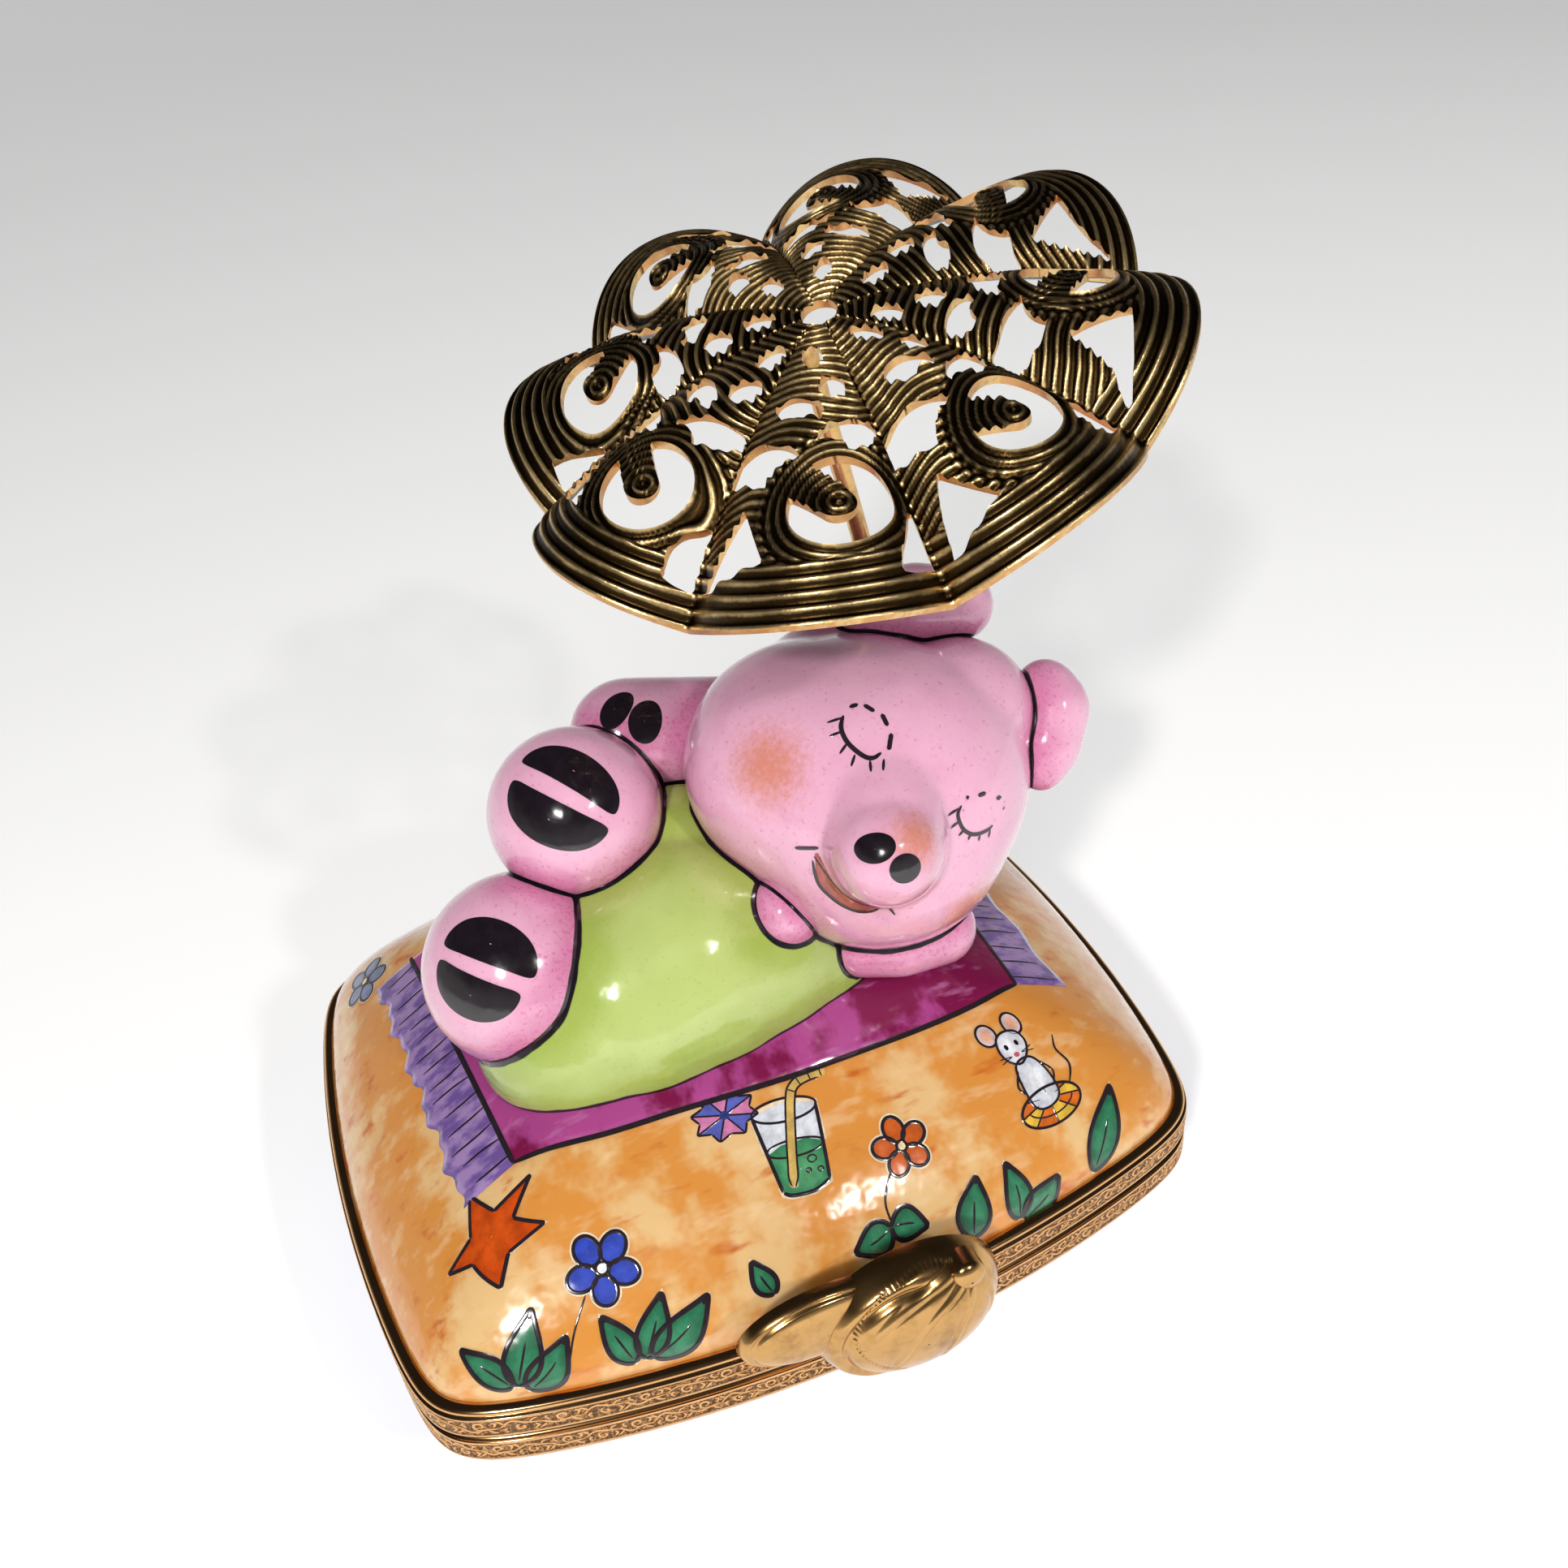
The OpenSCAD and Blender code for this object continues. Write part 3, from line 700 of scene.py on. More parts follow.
PIG_MESHES = (  # points round each piece, and the pieces that it meets
    ("body", 300, "head leg_upper leg_lower arm_upper arm_lower hand_lower"),
    ("head", 360, "ear_left ear_right body arm_upper arm_lower hand_lower"),
    ("ear_left", 140, "head"),
    ("ear_right", 140, "head"),
    ("leg_upper", 200, "leg_lower body arm_upper"),
    ("leg_lower", 200, "leg_upper body"),
    ("arm_upper", 200, "head leg_upper body"),
    ("arm_lower", 180, "head body"),
    ("hand_lower", 120, "head body"),
)
BLUSHES = (((-7.5, -1.6, 6.4), 2.9), ((9.7, -1.2, 6.8), 2.7), ((0.6, 1.4, 13.1), 2.0))


def reach(piece, along):
    """How far a piece's surface lies from its centre along unit directions."""
    centre, balls = piece
    total = np.zeros(len(along))
    for ball_c, r in balls:
        to = centre - ball_c
        b = along @ to
        under = b * b - to @ to + r * r
        way = np.where(under > 0, np.maximum(0, np.sqrt(np.maximum(under, 0)) - b), 0)
        total += way**REACH_POWER
    return total ** (1 / REACH_POWER)


def gap_to(piece, points):
    to = points - piece[0]
    far = np.linalg.norm(to, axis=1)
    return far - reach(piece, to / far[:, None])


def star_mesh(around, pole):
    """Directions over a ball whose poles lie along pole, and the faces between them."""
    rows = around // 2
    up = np.radians(-90 + 180 * np.arange(1, rows) / rows)
    turn = 2 * np.pi * np.arange(around) / around
    u, t = np.meshgrid(up, turn, indexing="ij")
    local = np.stack([np.cos(u) * np.cos(t), np.cos(u) * np.sin(t), np.sin(u)], -1).reshape(-1, 3)
    local = np.concatenate([local, [[0, 0, -1], [0, 0, 1]]])
    w = unit(pole)
    a = unit(np.cross([0.3, 0.2, 1.0], w))
    along = local[:, :1] * a + local[:, 1:2] * np.cross(w, a) + local[:, 2:] * w
    faces = grid_faces(rows - 1, around).tolist()
    bottom, top = len(local) - 2, len(local) - 1
    last = (rows - 2) * around
    for i in range(around):
        j = (i + 1) % around
        faces.append([bottom, j, i])
        faces.append([top, last + i, last + j])
    return along, faces


def stop_at_lid(centre, along, far, sink):
    """Shortens each ray so that it ends a little way inside the lid."""

    def is_under(t):
        p = centre + along * t[:, None]
        return p[:, 2] < lid_z(p[:, 0], p[:, 1]) - sink

    low = np.zeros(len(far))
    high = far.copy()
    found = np.zeros(len(far), bool)
    for k in range(1, 25):
        t = far * k / 24
        hit = is_under(t) & ~found
        low = np.where(hit, far * (k - 1) / 24, low)
        high = np.where(hit, t, high)
        found |= hit
    for _ in range(16):
        mid = (low + high) / 2
        under = is_under(mid)
        high = np.where(found & under, mid, high)
        low = np.where(found & ~under, mid, low)
    return high


def build_pig(pink, green):
    for name, around, neighbours in PIG_MESHES:
        piece = PIG[name]
        along, faces = star_mesh(around, HEAD_SIDE)
        far = stop_at_lid(piece[0], along, reach(piece, along), 0.5)
        points = piece[0] + along * far[:, None]
        gap = np.min([gap_to(PIG[other], points) for other in neighbours.split()], axis=0)
        above = points[:, 2] - lid_z(points[:, 0], points[:, 1])
        # gap is the distance to the nearest other piece or to the lid; the material draws both the painted
        # outline and the painted shade from it
        gap = np.minimum(gap, above * 0.6) * (2.2 if name == "hand_lower" else 1.2)
        blush = np.zeros(len(points))
        replaced = ["pig_" + name]
        if name == "head":
            replaced.append("pig_snout")
            for spot, r in BLUSHES:
                far_off = np.linalg.norm(points - on_head(*spot), axis=1)
                blush = np.maximum(blush, hump(far_off, 0, r))
        material, slot = (green, "shirt_glaze") if name == "body" else (pink, "pig_glaze")
        obj = make_mesh("pig_" + name + "_glazed", points, faces, material, gap=gap, blush=blush)
        place(obj, "lid", slot, *replaced)


def on_piece(name, points, lift):
    """Moves points along lines from the piece's centre to just over its surface."""
    piece = PIG[name]
    along = unit(np.asarray(points, float) - piece[0])
    return piece[0] + along * (reach(piece, along) + lift)[:, None]


# ---- painting on curved ground ----

GREEN = (0.04, 0.23, 0.115)
DEEP_GREEN = (0.015, 0.10, 0.05)
BLUE = (0.035, 0.07, 0.50)
SLATE = (0.20, 0.24, 0.42)
ORANGE = (0.62, 0.12, 0.018)
CREAM = (0.85, 0.70, 0.40)
WHITE = (0.80, 0.82, 0.86)
PINK = (0.60, 0.20, 0.40)
BARE = (0.80, 0.66, 0.46)


class Paper:
    """A flat sheet laid on the surface at one point, for drawing in millimetres."""

    def __init__(self, sheets, origin, right, up, land):
        self.paint, self.ink = sheets
        self.origin = np.asarray(origin, float)
        self.right, self.up = unit(right), unit(up)
        self.land = land

    def point(self, flat, lift):
        flat = np.asarray(flat, float)
        raised = self.origin + flat[:, :1] * self.right + flat[:, 1:2] * self.up
        return self.land(raised, lift)

    def flat(self, place_on_it):
        to = place_on_it - self.origin
        return np.array([to @ self.right, to @ self.up])

    def flat_on_lid(self, x, y):
        """Where a place on the lid falls on the paper."""
        height = max(float(lid_z(np.float64(x), np.float64(y))), RIM_TOP)
        return self.flat(on_lid(np.array([[x, y, height]]))[0])

    def stroke(self, curve, width, taper=0.2, closed=False, lift=0.045):
        path = spline(curve)
        if closed:
            path = path[:-1]
        flat, height, faces = ribbon(path, width, taper, closed)
        self.ink.add(self.point(flat, lift + 0.02 * height), faces)

    def loop(self, curve, width, lift=0.045):
        self.stroke(curve, width, closed=True, lift=lift)

    def fill(self, centre, edge, tint, rim_tint=None, lift=0.03):
        """A patch between a centre and a closed edge."""
        edge = np.asarray(edge, float)
        shares = np.linspace(0.02, 1, 9)
        flat = np.concatenate([np.asarray(centre) + (edge - centre) * s for s in shares])
        faces = grid_faces(len(shares), len(edge))[:, ::-1]
        tint = np.asarray(tint, float)
        rim = tint if rim_tint is None else np.asarray(rim_tint, float)
        mix = np.repeat(shares**2, len(edge))[:, None]
        self.paint.add(self.point(flat, lift), faces, tint=tint * (1 - mix) + rim * mix)

    def bare(self, centre, edge, margin=0.3):
        """The strip of bare glaze that the wash leaves round a motif."""
        to = np.asarray(edge, float) - centre
        far = np.linalg.norm(to, axis=1, keepdims=True)
        self.fill(centre, centre + to * (1 + margin / np.maximum(far, 0.2)), BARE, lift=0.014)


def lid_paper(sheets, x, y, turn=0.0):
    origin = on_lid(np.array([[x, y, lid_z(np.float64(x), np.float64(y))]]))[0]
    normal = lid_normal(origin[None])[0]
    up = unit(np.array([0, 0, 1.0]) - normal * normal[2])
    right = np.cross(up, normal)
    c, s = math.cos(math.radians(turn)), math.sin(math.radians(turn))
    return Paper(sheets, origin, right * c + up * s, up * c - right * s, on_lid)


def oval(cx, cy, rx, ry, turn=0.0, n=40):
    a = np.linspace(0, 2 * np.pi, n, endpoint=False)
    c, s = math.cos(math.radians(turn)), math.sin(math.radians(turn))
    x, y = rx * np.cos(a), ry * np.sin(a)
    return np.stack([cx + c * x - s * y, cy + s * x + c * y], -1)


def soft_closed(points):
    """A smooth closed curve through the points."""
    p = np.asarray(points, float)
    curve = spline(np.concatenate([p[-2:], p, p[:3]]))
    start = np.argmin(np.linalg.norm(curve[: len(curve) // 2] - p[0], axis=1))
    beyond = start + 5
    end = beyond + np.argmin(np.linalg.norm(curve[beyond:] - p[0], axis=1))
    return curve[start:end]


def straight_sides(corners, count):
    """Points along the sides of a polygon, count on each."""
    share = np.linspace(0, 1, count, endpoint=False)
    return [a + (b - a) * t for a, b in zip(corners, corners[1:] + corners[:1]) for t in share]


def leaf(sheets, base, tip, width, bend=0.12):
    """A pointed leaf between two places on the lid, with a centre vein."""
    g = lid_paper(sheets, (base[0] + tip[0]) / 2, (base[1] + tip[1]) / 2)
    a, b = g.flat_on_lid(*base), g.flat_on_lid(*tip)
    long = np.linalg.norm(b - a)
    way = (b - a) / long
    side = np.array([-way[1], way[0]])
    t = np.linspace(0, 1, 24)
    half = width / 2 * np.sin(np.pi * t**0.72) ** 0.9 * (1 - 0.25 * t**3)
    spine = a + np.outer(t * long, way) + np.outer(np.sin(np.pi * t) * bend * long, side)
    left, right = spine + half[:, None] * side, spine - half[:, None] * side
    edge = np.concatenate([left, right[::-1][1:-1]])
    g.bare(spine[10], edge, 0.2)
    g.fill(spine[10], edge, GREEN, DEEP_GREEN)
    g.stroke(left, 0.34, 0.05)
    g.stroke(right, 0.34, 0.05)
    g.stroke(spine[20:], 0.40, 0.1)
    g.stroke(spine[2:15], 0.16, 0.3)


def flower(sheets, x, y, petal_r, petal, centre_tint, turn, ring_r):
    g = lid_paper(sheets, x, y, turn)
    for k in range(5):
        a = 2 * np.pi * k / 5
        middle = ring_r * math.cos(a), ring_r * math.sin(a)
        edge = oval(*middle, petal_r * 1.08, petal_r * 0.88, math.degrees(a))
        g.bare(middle, edge, 0.24)
        g.fill(middle, edge, petal, np.array(petal) * 0.75)
        g.loop(edge, 0.24)
    eye = oval(0, 0, petal_r * 0.42, petal_r * 0.42)
    g.fill((0, 0), eye, centre_tint, lift=0.06)
    g.loop(eye, 0.16, 0.07)


def lid_stroke(ink, places, width, taper=0.2, lift=0.045):
    """A stroke through places on the lid that may lie far apart."""
    flat, height, faces = ribbon(spline(places), width, taper)
    raised = np.stack([*flat.T, lid_z(*flat.T)], -1)
    ink.add(on_lid(raised, lift + 0.02 * height), faces)


STAR_TIPS = ((-18.0, -13.2), (-18.3, -16.6), (-22.1, -18.5), (-25.0, -15.5), (-22.3, -11.7))
STAR_NOTCHES = ((-19.8, -15.0), (-20.8, -16.8), (-23.1, -16.0), (-22.8, -14.4), (-20.8, -13.8))


def draw_star(sheets):
    g = lid_paper(sheets, -21.3, -15.2)
    corners = [g.flat_on_lid(*spot) for both in zip(STAR_TIPS, STAR_NOTCHES) for spot in both]
    edge = straight_sides(corners, 8)
    middle = np.mean(corners, 0)
    g.bare(middle, edge, 0.2)
    g.fill(middle, edge, (0.62, 0.085, 0.008), (0.50, 0.055, 0.005))
    for start, end in zip(corners, corners[1:] + corners[:1]):
        g.stroke([start, end], 0.27, 0.02)


def draw_tumbler(sheets):
    g = lid_paper(sheets, -1.2, -18.2, -6)
    top_y = 2.6
    foot = [(-1.5, -2.7), (-0.9, -3.0), (0.6, -3.0), (1.75, -2.5)]
    glass = np.array([(-2.35, top_y), (-2.0, 0.6), *foot, (1.95, 0.6), (2.1, top_y), (0, top_y + 0.5)])
    g.bare(np.zeros(2), glass)
    g.fill((0, 0), glass, (0.72, 0.74, 0.80), (0.62, 0.66, 0.74))
    drink = np.array([(-2.0, -0.1), *foot, (1.9, 0.1), (0.9, 0.5), (-0.9, 0.4)])
    g.fill((0, -1.4), drink, (0.10, 0.36, 0.16), (0.03, 0.20, 0.09), lift=0.04)
    g.loop(oval(-0.1, top_y, 2.25, 0.75), 0.17)
    g.loop(oval(0, 0.05, 1.95, 0.55), 0.15, 0.055)
    g.stroke([(-2.35, top_y), foot[0]], 0.25, 0.05)
    g.stroke([(2.1, top_y), foot[-1]], 0.25, 0.05)
    g.stroke([foot[0], foot[1], (0.6, -3.02), foot[-1]], 0.28, 0.05)
    for x, y, r in ((0.9, -0.9, 0.30), (1.3, -1.7, 0.2), (0.5, -1.6, 0.18)):
        g.loop(oval(x, y, r, r * 0.8), 0.11, 0.06)
    straw = spline([(-0.75, -2.5), (-0.1, 0.8), (0.7, 3.6), (1.7, 4.3), (3.4, 4.5)])
    flat, height, faces = ribbon(straw, 0.62, 0.01)
    tint = np.tile([0.62, 0.42, 0.12], (len(flat), 1))
    g.paint.add(g.point(flat, 0.07 + 0.02 * height), faces, tint=tint)
    across = flat.reshape(-1, 3, 2)
    for side in (0, 2):
        g.stroke(across[::6, side], 0.13, 0.02, lift=0.08)
    for left, middle, right in across[4:-3:7]:
        if middle[1] > 3.4:
            g.stroke([left, right], 0.10, 0.02, lift=0.09)


def draw_paper_umbrella(sheets):
    g = lid_paper(sheets, -4.8, -14.9, 4)
    spokes = 8
    tips, notches = [], []
    for k in range(spokes):
        a = 2 * np.pi * (k + 0.5) / spokes
        b = a + np.pi / spokes
        tips.append(np.array([2.35 * math.cos(a), 1.75 * math.sin(a)]))
        notches.append(np.array([1.75 * math.cos(b), 1.3 * math.sin(b)]))
    for k in range(spokes):
        a, n, b = tips[k], notches[k], tips[(k + 1) % spokes]
        corners = [np.zeros(2), a, n, b]
        tint = PINK if k % 2 else (0.10, 0.12, 0.46)
        g.fill(np.mean(corners, 0), straight_sides(corners, 6), tint, lift=0.05)
        for start, end, width in ((a, n, 0.15), (n, b, 0.15), ((0, 0), a, 0.12)):
            g.stroke([start, end], width, 0.02, lift=0.065)
    g.fill((0, 0), oval(0, 0, 0.35, 0.3), (0.03, 0.05, 0.22), lift=0.08)


def draw_mouse(sheets):
    """A plain little mouse sitting in a striped swim ring."""
    g = lid_paper(sheets, 16.6, -19.2, -4)
    ring_x, ring_y = 0.2, -1.6
    stripes = 8
    for k in range(stripes):
        a = np.linspace(2 * np.pi * k / stripes, 2 * np.pi * (k + 1) / stripes, 8)
        back = a[::-1]
        outer = np.stack([ring_x + 2.5 * np.cos(a), ring_y + 1.35 * np.sin(a)], -1)
        inner = np.stack([ring_x + 0.9 * np.cos(back), ring_y + 0.4 + 0.45 * np.sin(back)], -1)
        edge = np.concatenate([outer, inner])
        g.fill(edge.mean(0), edge, (0.66, 0.15, 0.02) if k % 2 else (0.80, 0.50, 0.06), lift=0.05)
        g.stroke([outer[0], inner[-1]], 0.12, 0.02, lift=0.07)
    body = soft_closed([
        (-1.0, -1.2), (-1.15, 0.6), (-0.75, 1.9), (0.5, 2.0), (1.1, 0.8), (1.15, -1.0), (0.1, -1.6)])
    g.fill((0, 0.4), body, WHITE, (0.55, 0.58, 0.66), lift=0.08)
    g.loop(body, 0.17, 0.10)
    g.loop(oval(ring_x, ring_y, 2.5, 1.35), 0.2, 0.11)
    front = np.linspace(np.pi * 1.05, np.pi * 1.95, 14)
    belt = np.stack([ring_x + 1.9 * np.cos(front), ring_y + 0.35 + 1.0 * np.sin(front)], -1)
    g.stroke(belt, 0.12, 0.05, lift=0.10)
    for side in (-1, 1):
        ear = -0.25 + side * 1.15, 4.45
        ear_edge = oval(*ear, 0.72, 0.78)
        g.fill(ear, ear_edge, (0.70, 0.34, 0.20), (0.60, 0.62, 0.70), lift=0.06)
        g.loop(ear_edge, 0.17, 0.075)
    head = soft_closed([
        (-1.3, 3.0), (-1.0, 3.9), (-0.2, 4.2), (0.7, 3.9), (0.95, 3.1), (0.5, 2.3), (-0.3, 1.85),
        (-1.0, 2.2)])
    g.fill((-0.2, 3.1), head, WHITE, (0.60, 0.63, 0.70), lift=0.09)
    g.loop(head, 0.17, 0.11)
    for x in (-0.65, 0.25):
        g.fill((x, 3.2), oval(x, 3.2, 0.15, 0.2), INK, lift=0.12)
    g.fill((-0.25, 2.5), oval(-0.25, 2.5, 0.22, 0.17), (0.50, 0.10, 0.12), lift=0.12)
    for side in (-1, 1):
        for k in (0, 1):
            whisker = [(-0.25 + side * 0.4, 2.5), (-0.25 + side * 1.4, 2.65 - 0.35 * k)]
            g.stroke(whisker, 0.07, 0.1, lift=0.125)
        g.stroke([(side * 0.9, 1.5), (side * 1.5, 0.5), (side * 1.1, -0.3)], 0.15, 0.1, lift=0.12)
    g.stroke([(2.2, -0.9), (3.0, 0.3), (2.7, 1.6), (3.2, 2.5)], 0.17, 0.3, lift=0.08)


TOWEL_HALF = 18.6
TOWEL_FRONT = (
    (-TOWEL_HALF, -11.7), (-12.9, -13.0), (-7.3, -13.6), (-2.8, -14.0), (1.8, -14.2), (9.3, -14.0),
    (14.7, -13.4), (TOWEL_HALF, -12.3))
TOWEL_REAR = 13.0
TOWEL_LIFT = 0.18
TOWEL_LINE_LIFT = 0.20


def towel_edges(y_share):
    """Left outer, left inner, right inner and right outer x at a share of the way to the rear."""
    left_in = -TOWEL_HALF - 2.4 * y_share
    left_out = -22.6 - 1.6 * y_share + 0.22 * np.sin(31 * y_share) + 0.15 * np.sin(73 * y_share)
    right_in = TOWEL_HALF * np.ones_like(y_share)
    right_out = 22.8 - 0.9 * y_share + 0.2 * np.sin(27 * y_share + 1)
    return left_out, left_in, right_in, right_out


def front_y(x):
    return np.interp(x, *np.array(TOWEL_FRONT).T)


def towel_y(x, share):
    return front_y(x) + (TOWEL_REAR - front_y(x)) * share


def build_towel(material, ink):
    rows, cols = 150, 260
    across = np.linspace(0, 1, cols)
    points, fringe, lift = [], [], []
    for share in np.linspace(0, 1, rows):
        edges = towel_edges(share)
        left_in, right_in = edges[1:3]
        x = np.interp(across, [0, 0.1, 0.9, 1.0], edges)
        start = front_y(x) - 0.35 * (x < left_in) * (left_in - x) / 4 + 0.1 * (x > right_in)
        y = start + (TOWEL_REAR - start) * share
        points.append(np.stack([x, y, lid_z(x, y)], -1))
        fringe.append(((x < left_in) | (x > right_in)).astype(float))
        rim = np.minimum(min(share, 1 - share) * 26, np.minimum(across, 1 - across) * 40)
        lift.append(0.02 + (TOWEL_LIFT - 0.02) * smooth(rim, 0, 0.5))
    points = on_lid(np.concatenate(points), np.concatenate(lift))
    faces = grid_faces(rows, cols, False)
    towel = make_mesh("beach_towel", points, faces, material, fringe=np.concatenate(fringe))
    place(towel, "lid", "sand_porcelain")
    lid_stroke(ink, TOWEL_FRONT, 0.36, 0.02, TOWEL_LINE_LIFT)
    s = np.linspace(0, 1, 9)
    _, left_in, right_in, _ = towel_edges(s)
    lid_stroke(ink, np.stack([left_in, towel_y(-TOWEL_HALF, s)], -1), 0.36, 0.02, TOWEL_LINE_LIFT)
    lid_stroke(ink, np.stack([right_in, towel_y(TOWEL_HALF, s)], -1), 0.32, 0.02, TOWEL_LINE_LIFT)
    rng = np.random.default_rng(8)
    for t in np.arange(0.03, 0.98, 0.066):
        lo, li, ri, ro = towel_edges(t)
        j = rng.uniform(-0.2, 0.2, 4)
        yl, yr = towel_y(-TOWEL_HALF, t), towel_y(TOWEL_HALF, t)
        for thread in (
            [(li, yl), (li - 1.3, yl - 0.05 + j[0]), (lo + 0.9 + j[1], yl - 0.1 + j[0])],
            [(ri, yr), (ri + 1.3, yr + j[2]), (ro - 0.9 + j[3], yr - 0.1 + j[2])],
        ):
            lid_stroke(ink, thread, 0.17, 0.3, TOWEL_LINE_LIFT)


FLOWERS = (  # place, petal's radius and colour, middle's colour, turn, and ring of the petals
    (-15.5, -19.8, 0.92, BLUE, WHITE, 52, 1.42),
    (5.6, -20.1, 0.80, ORANGE, CREAM, 20, 1.18),
    (-25.0, 15.4, 0.85, SLATE, CREAM, 10, 1.35),
)
STEMS = (  # width and places of the first two flowers' stems
    (0.12, [(-17.0, -20.6), (-18.3, -21.8), (-19.0, -22.6), (-19.4, -23.0)]),
    (0.15, [(4.2, -21.2), (3.2, -22.4), (3.1, -23.5)]),
)
LEAVES = (  # base, tip, width and bend
    ((-23.1, -22.4), (-25.5, -19.6), 1.8, -0.06), ((-22.1, -22.8), (-18.9, -21.8), 2.3, -0.09),
    ((-22.8, -22.5), (-20.5, -19.9), 2.4, -0.02), ((-15.4, -24.1), (-16.6, -21.8), 1.9, -0.03),
    ((-14.2, -24.3), (-9.7, -23.1), 2.5, -0.07), ((-14.7, -24.2), (-12.5, -22.1), 2.1, -0.02),
    ((-5.7, -24.3), (-6.5, -22.6), 1.5, 0.02), ((3.0, -23.6), (0.1, -24.1), 2.2, 0.06),
    ((3.0, -23.6), (5.5, -24.1), 2.2, 0.08), ((8.4, -25.1), (9.8, -22.7), 2.5, 0.05),
    ((12.4, -24.8), (15.7, -23.6), 2.3, -0.06), ((12.1, -24.8), (12.1, -22.5), 2.0, -0.05),
    ((18.7, -23.7), (22.0, -20.0), 2.5, 0.02),
)


def paint_lid(sheets):
    draw_star(sheets)
    for k, values in enumerate(FLOWERS):
        flower(sheets, *values)
        for width, places in STEMS[k:k + 1]:
            lid_stroke(sheets[1], places, width, 0.1)
    for values in LEAVES:
        leaf(sheets, *values)
    draw_tumbler(sheets)
    draw_paper_umbrella(sheets)
    draw_mouse(sheets)


# ---- painting on the pig ----

VIEW_UP = np.array([0.29, 0.53, 0.80])
EYES = (  # each closed eye: dashes of the lid above it, its line and that line's width
    ([((-5.8, 4.6, 6.4), (-5.5, 5.1, 6.4)), ((-5.2, 5.3, 6.5), (-4.5, 5.4, 6.9)),
        ((-4.1, 5.6, 7.1), (-3.5, 5.3, 7.7)), ((-3.1, 5.1, 8.0), (-2.7, 4.2, 8.5))],
        [(-5.9, 4.0, 6.7), (-5.7, 3.4, 7.2), (-5.1, 3.0, 7.7), (-4.4, 2.9, 8.2), (-3.6, 3.0, 8.6),
        (-3.2, 3.3, 8.7), (-3.0, 3.8, 8.6)], 0.31),
    ([((3.2, 4.8, 9.0), (3.3, 5.0, 8.9)), ((3.9, 5.4, 8.7), (4.3, 5.8, 8.4)),
        ((5.3, 5.9, 8.0), (5.6, 6.1, 7.7)), ((6.3, 5.5, 7.6), (6.3, 5.7, 7.5))],
        [(3.2, 4.3, 9.2), (3.4, 3.7, 9.4), (4.2, 3.2, 9.3), (5.0, 3.2, 9.1), (5.6, 3.5, 8.8),
        (6.1, 4.0, 8.4), (6.3, 4.4, 8.2)], 0.27),
)
LASHES = (
    ((-5.8, 3.9, 6.8), (-6.4, 3.0, 6.7)), ((-5.5, 3.2, 7.4), (-5.9, 2.5, 7.3)),
    ((-4.9, 2.9, 7.9), (-4.9, 2.1, 8.1)), ((-4.2, 2.7, 8.4), (-4.0, 2.0, 8.7)),
    ((-3.3, 3.0, 8.7), (-2.9, 2.5, 9.0)), ((-2.7, 3.6, 8.8), (-2.4, 3.0, 9.1)),
    ((3.2, 4.1, 9.3), (2.7, 3.3, 9.5)), ((3.7, 3.4, 9.4), (3.4, 2.8, 9.6)),
    ((4.4, 3.2, 9.3), (4.3, 2.7, 9.5)), ((5.0, 3.2, 9.1), (5.1, 2.8, 9.2)),
    ((5.7, 3.5, 8.8), (5.9, 3.1, 8.8)), ((6.2, 4.1, 8.3), (6.5, 3.6, 8.3)),
)
CHEEK_FOLD = [(-3.1, -4.5, 7.9), (-2.7, -4.0, 8.3), (-2.2, -3.4, 8.8)]
SMILE = [(-2.1, -3.8, 8.7), (-1.2, -4.8, 8.6), (-0.4, -5.4, 8.5), (0.6, -5.6, 8.6), (1.6, -5.6, 8.8),
    (2.6, -5.2, 9.1), (3.2, -4.4, 9.5), (3.3, -3.7, 10.0)]
SMILE_END = [(3.8, -3.3, 10.0), (4.8, -3.4, 9.6)]
UPPER_LIP = [(2.8, -3.9, 10.0), (2.0, -4.4, 9.6), (1.0, -4.7, 9.3), (0.0, -4.6, 9.1), (-1.0, -4.2, 8.9),
    (-2.0, -3.6, 8.8)]
SPOTS = (  # oval marks: piece, place, half widths and turn; first the two nostrils
    ("head", on_head(-1.15, -0.4, 13.2), 1.34, 0.95, 8),
    ("head", on_head(0.95, -0.2, 13.8), 1.02, 0.98, 8),
)
HAND_SPOTS = (
    ("arm_upper", over_rim(-2.8, 6.0, 28.9), 1.0, 1.65, -27),
    ("arm_upper", over_rim(-1.0, 4.9, 27.9), 1.2, 1.7, -15),
)
SOLES = (  # the halves of the split soles: piece, place, width, height, turn, and 1 for the upper half
    ("leg_upper", over_rim(-8.4, -0.8, 28.9), 8.7, 2.8, -31, 1),
    ("leg_upper", over_rim(-9.1, -1.4, 28.2), 8.6, 3.3, -27, -1),
    ("leg_lower", over_rim(-16.7, -5.8, 20.9), 7.6, 3.1, -18, 1),
    ("leg_lower", over_rim(-17.4, -6.1, 20.2), 6.9, 3.2, -20, -1),
)


def piece_paper(sheets, name, at, up):
    """Paper on one of the pig's pieces, at a place and with an upward direction."""
    origin = on_piece(name, [at], 0.0)[0]
    h = 0.05
    out = unit(origin - PIG[name][0])
    a = unit(np.cross(up, out))
    b = np.cross(out, a)
    pa = on_piece(name, [origin + a * h, origin - a * h], 0.0)
    pb = on_piece(name, [origin + b * h, origin - b * h], 0.0)
    normal = unit(np.cross(pa[0] - pa[1], pb[0] - pb[1]))
    if normal @ out < 0:
        normal = -normal
    up_flat = unit(up - normal * (up @ normal))
    right = np.cross(up_flat, normal)
    return Paper(sheets, origin, right, up_flat, lambda p, lift: on_piece(name, p, lift))


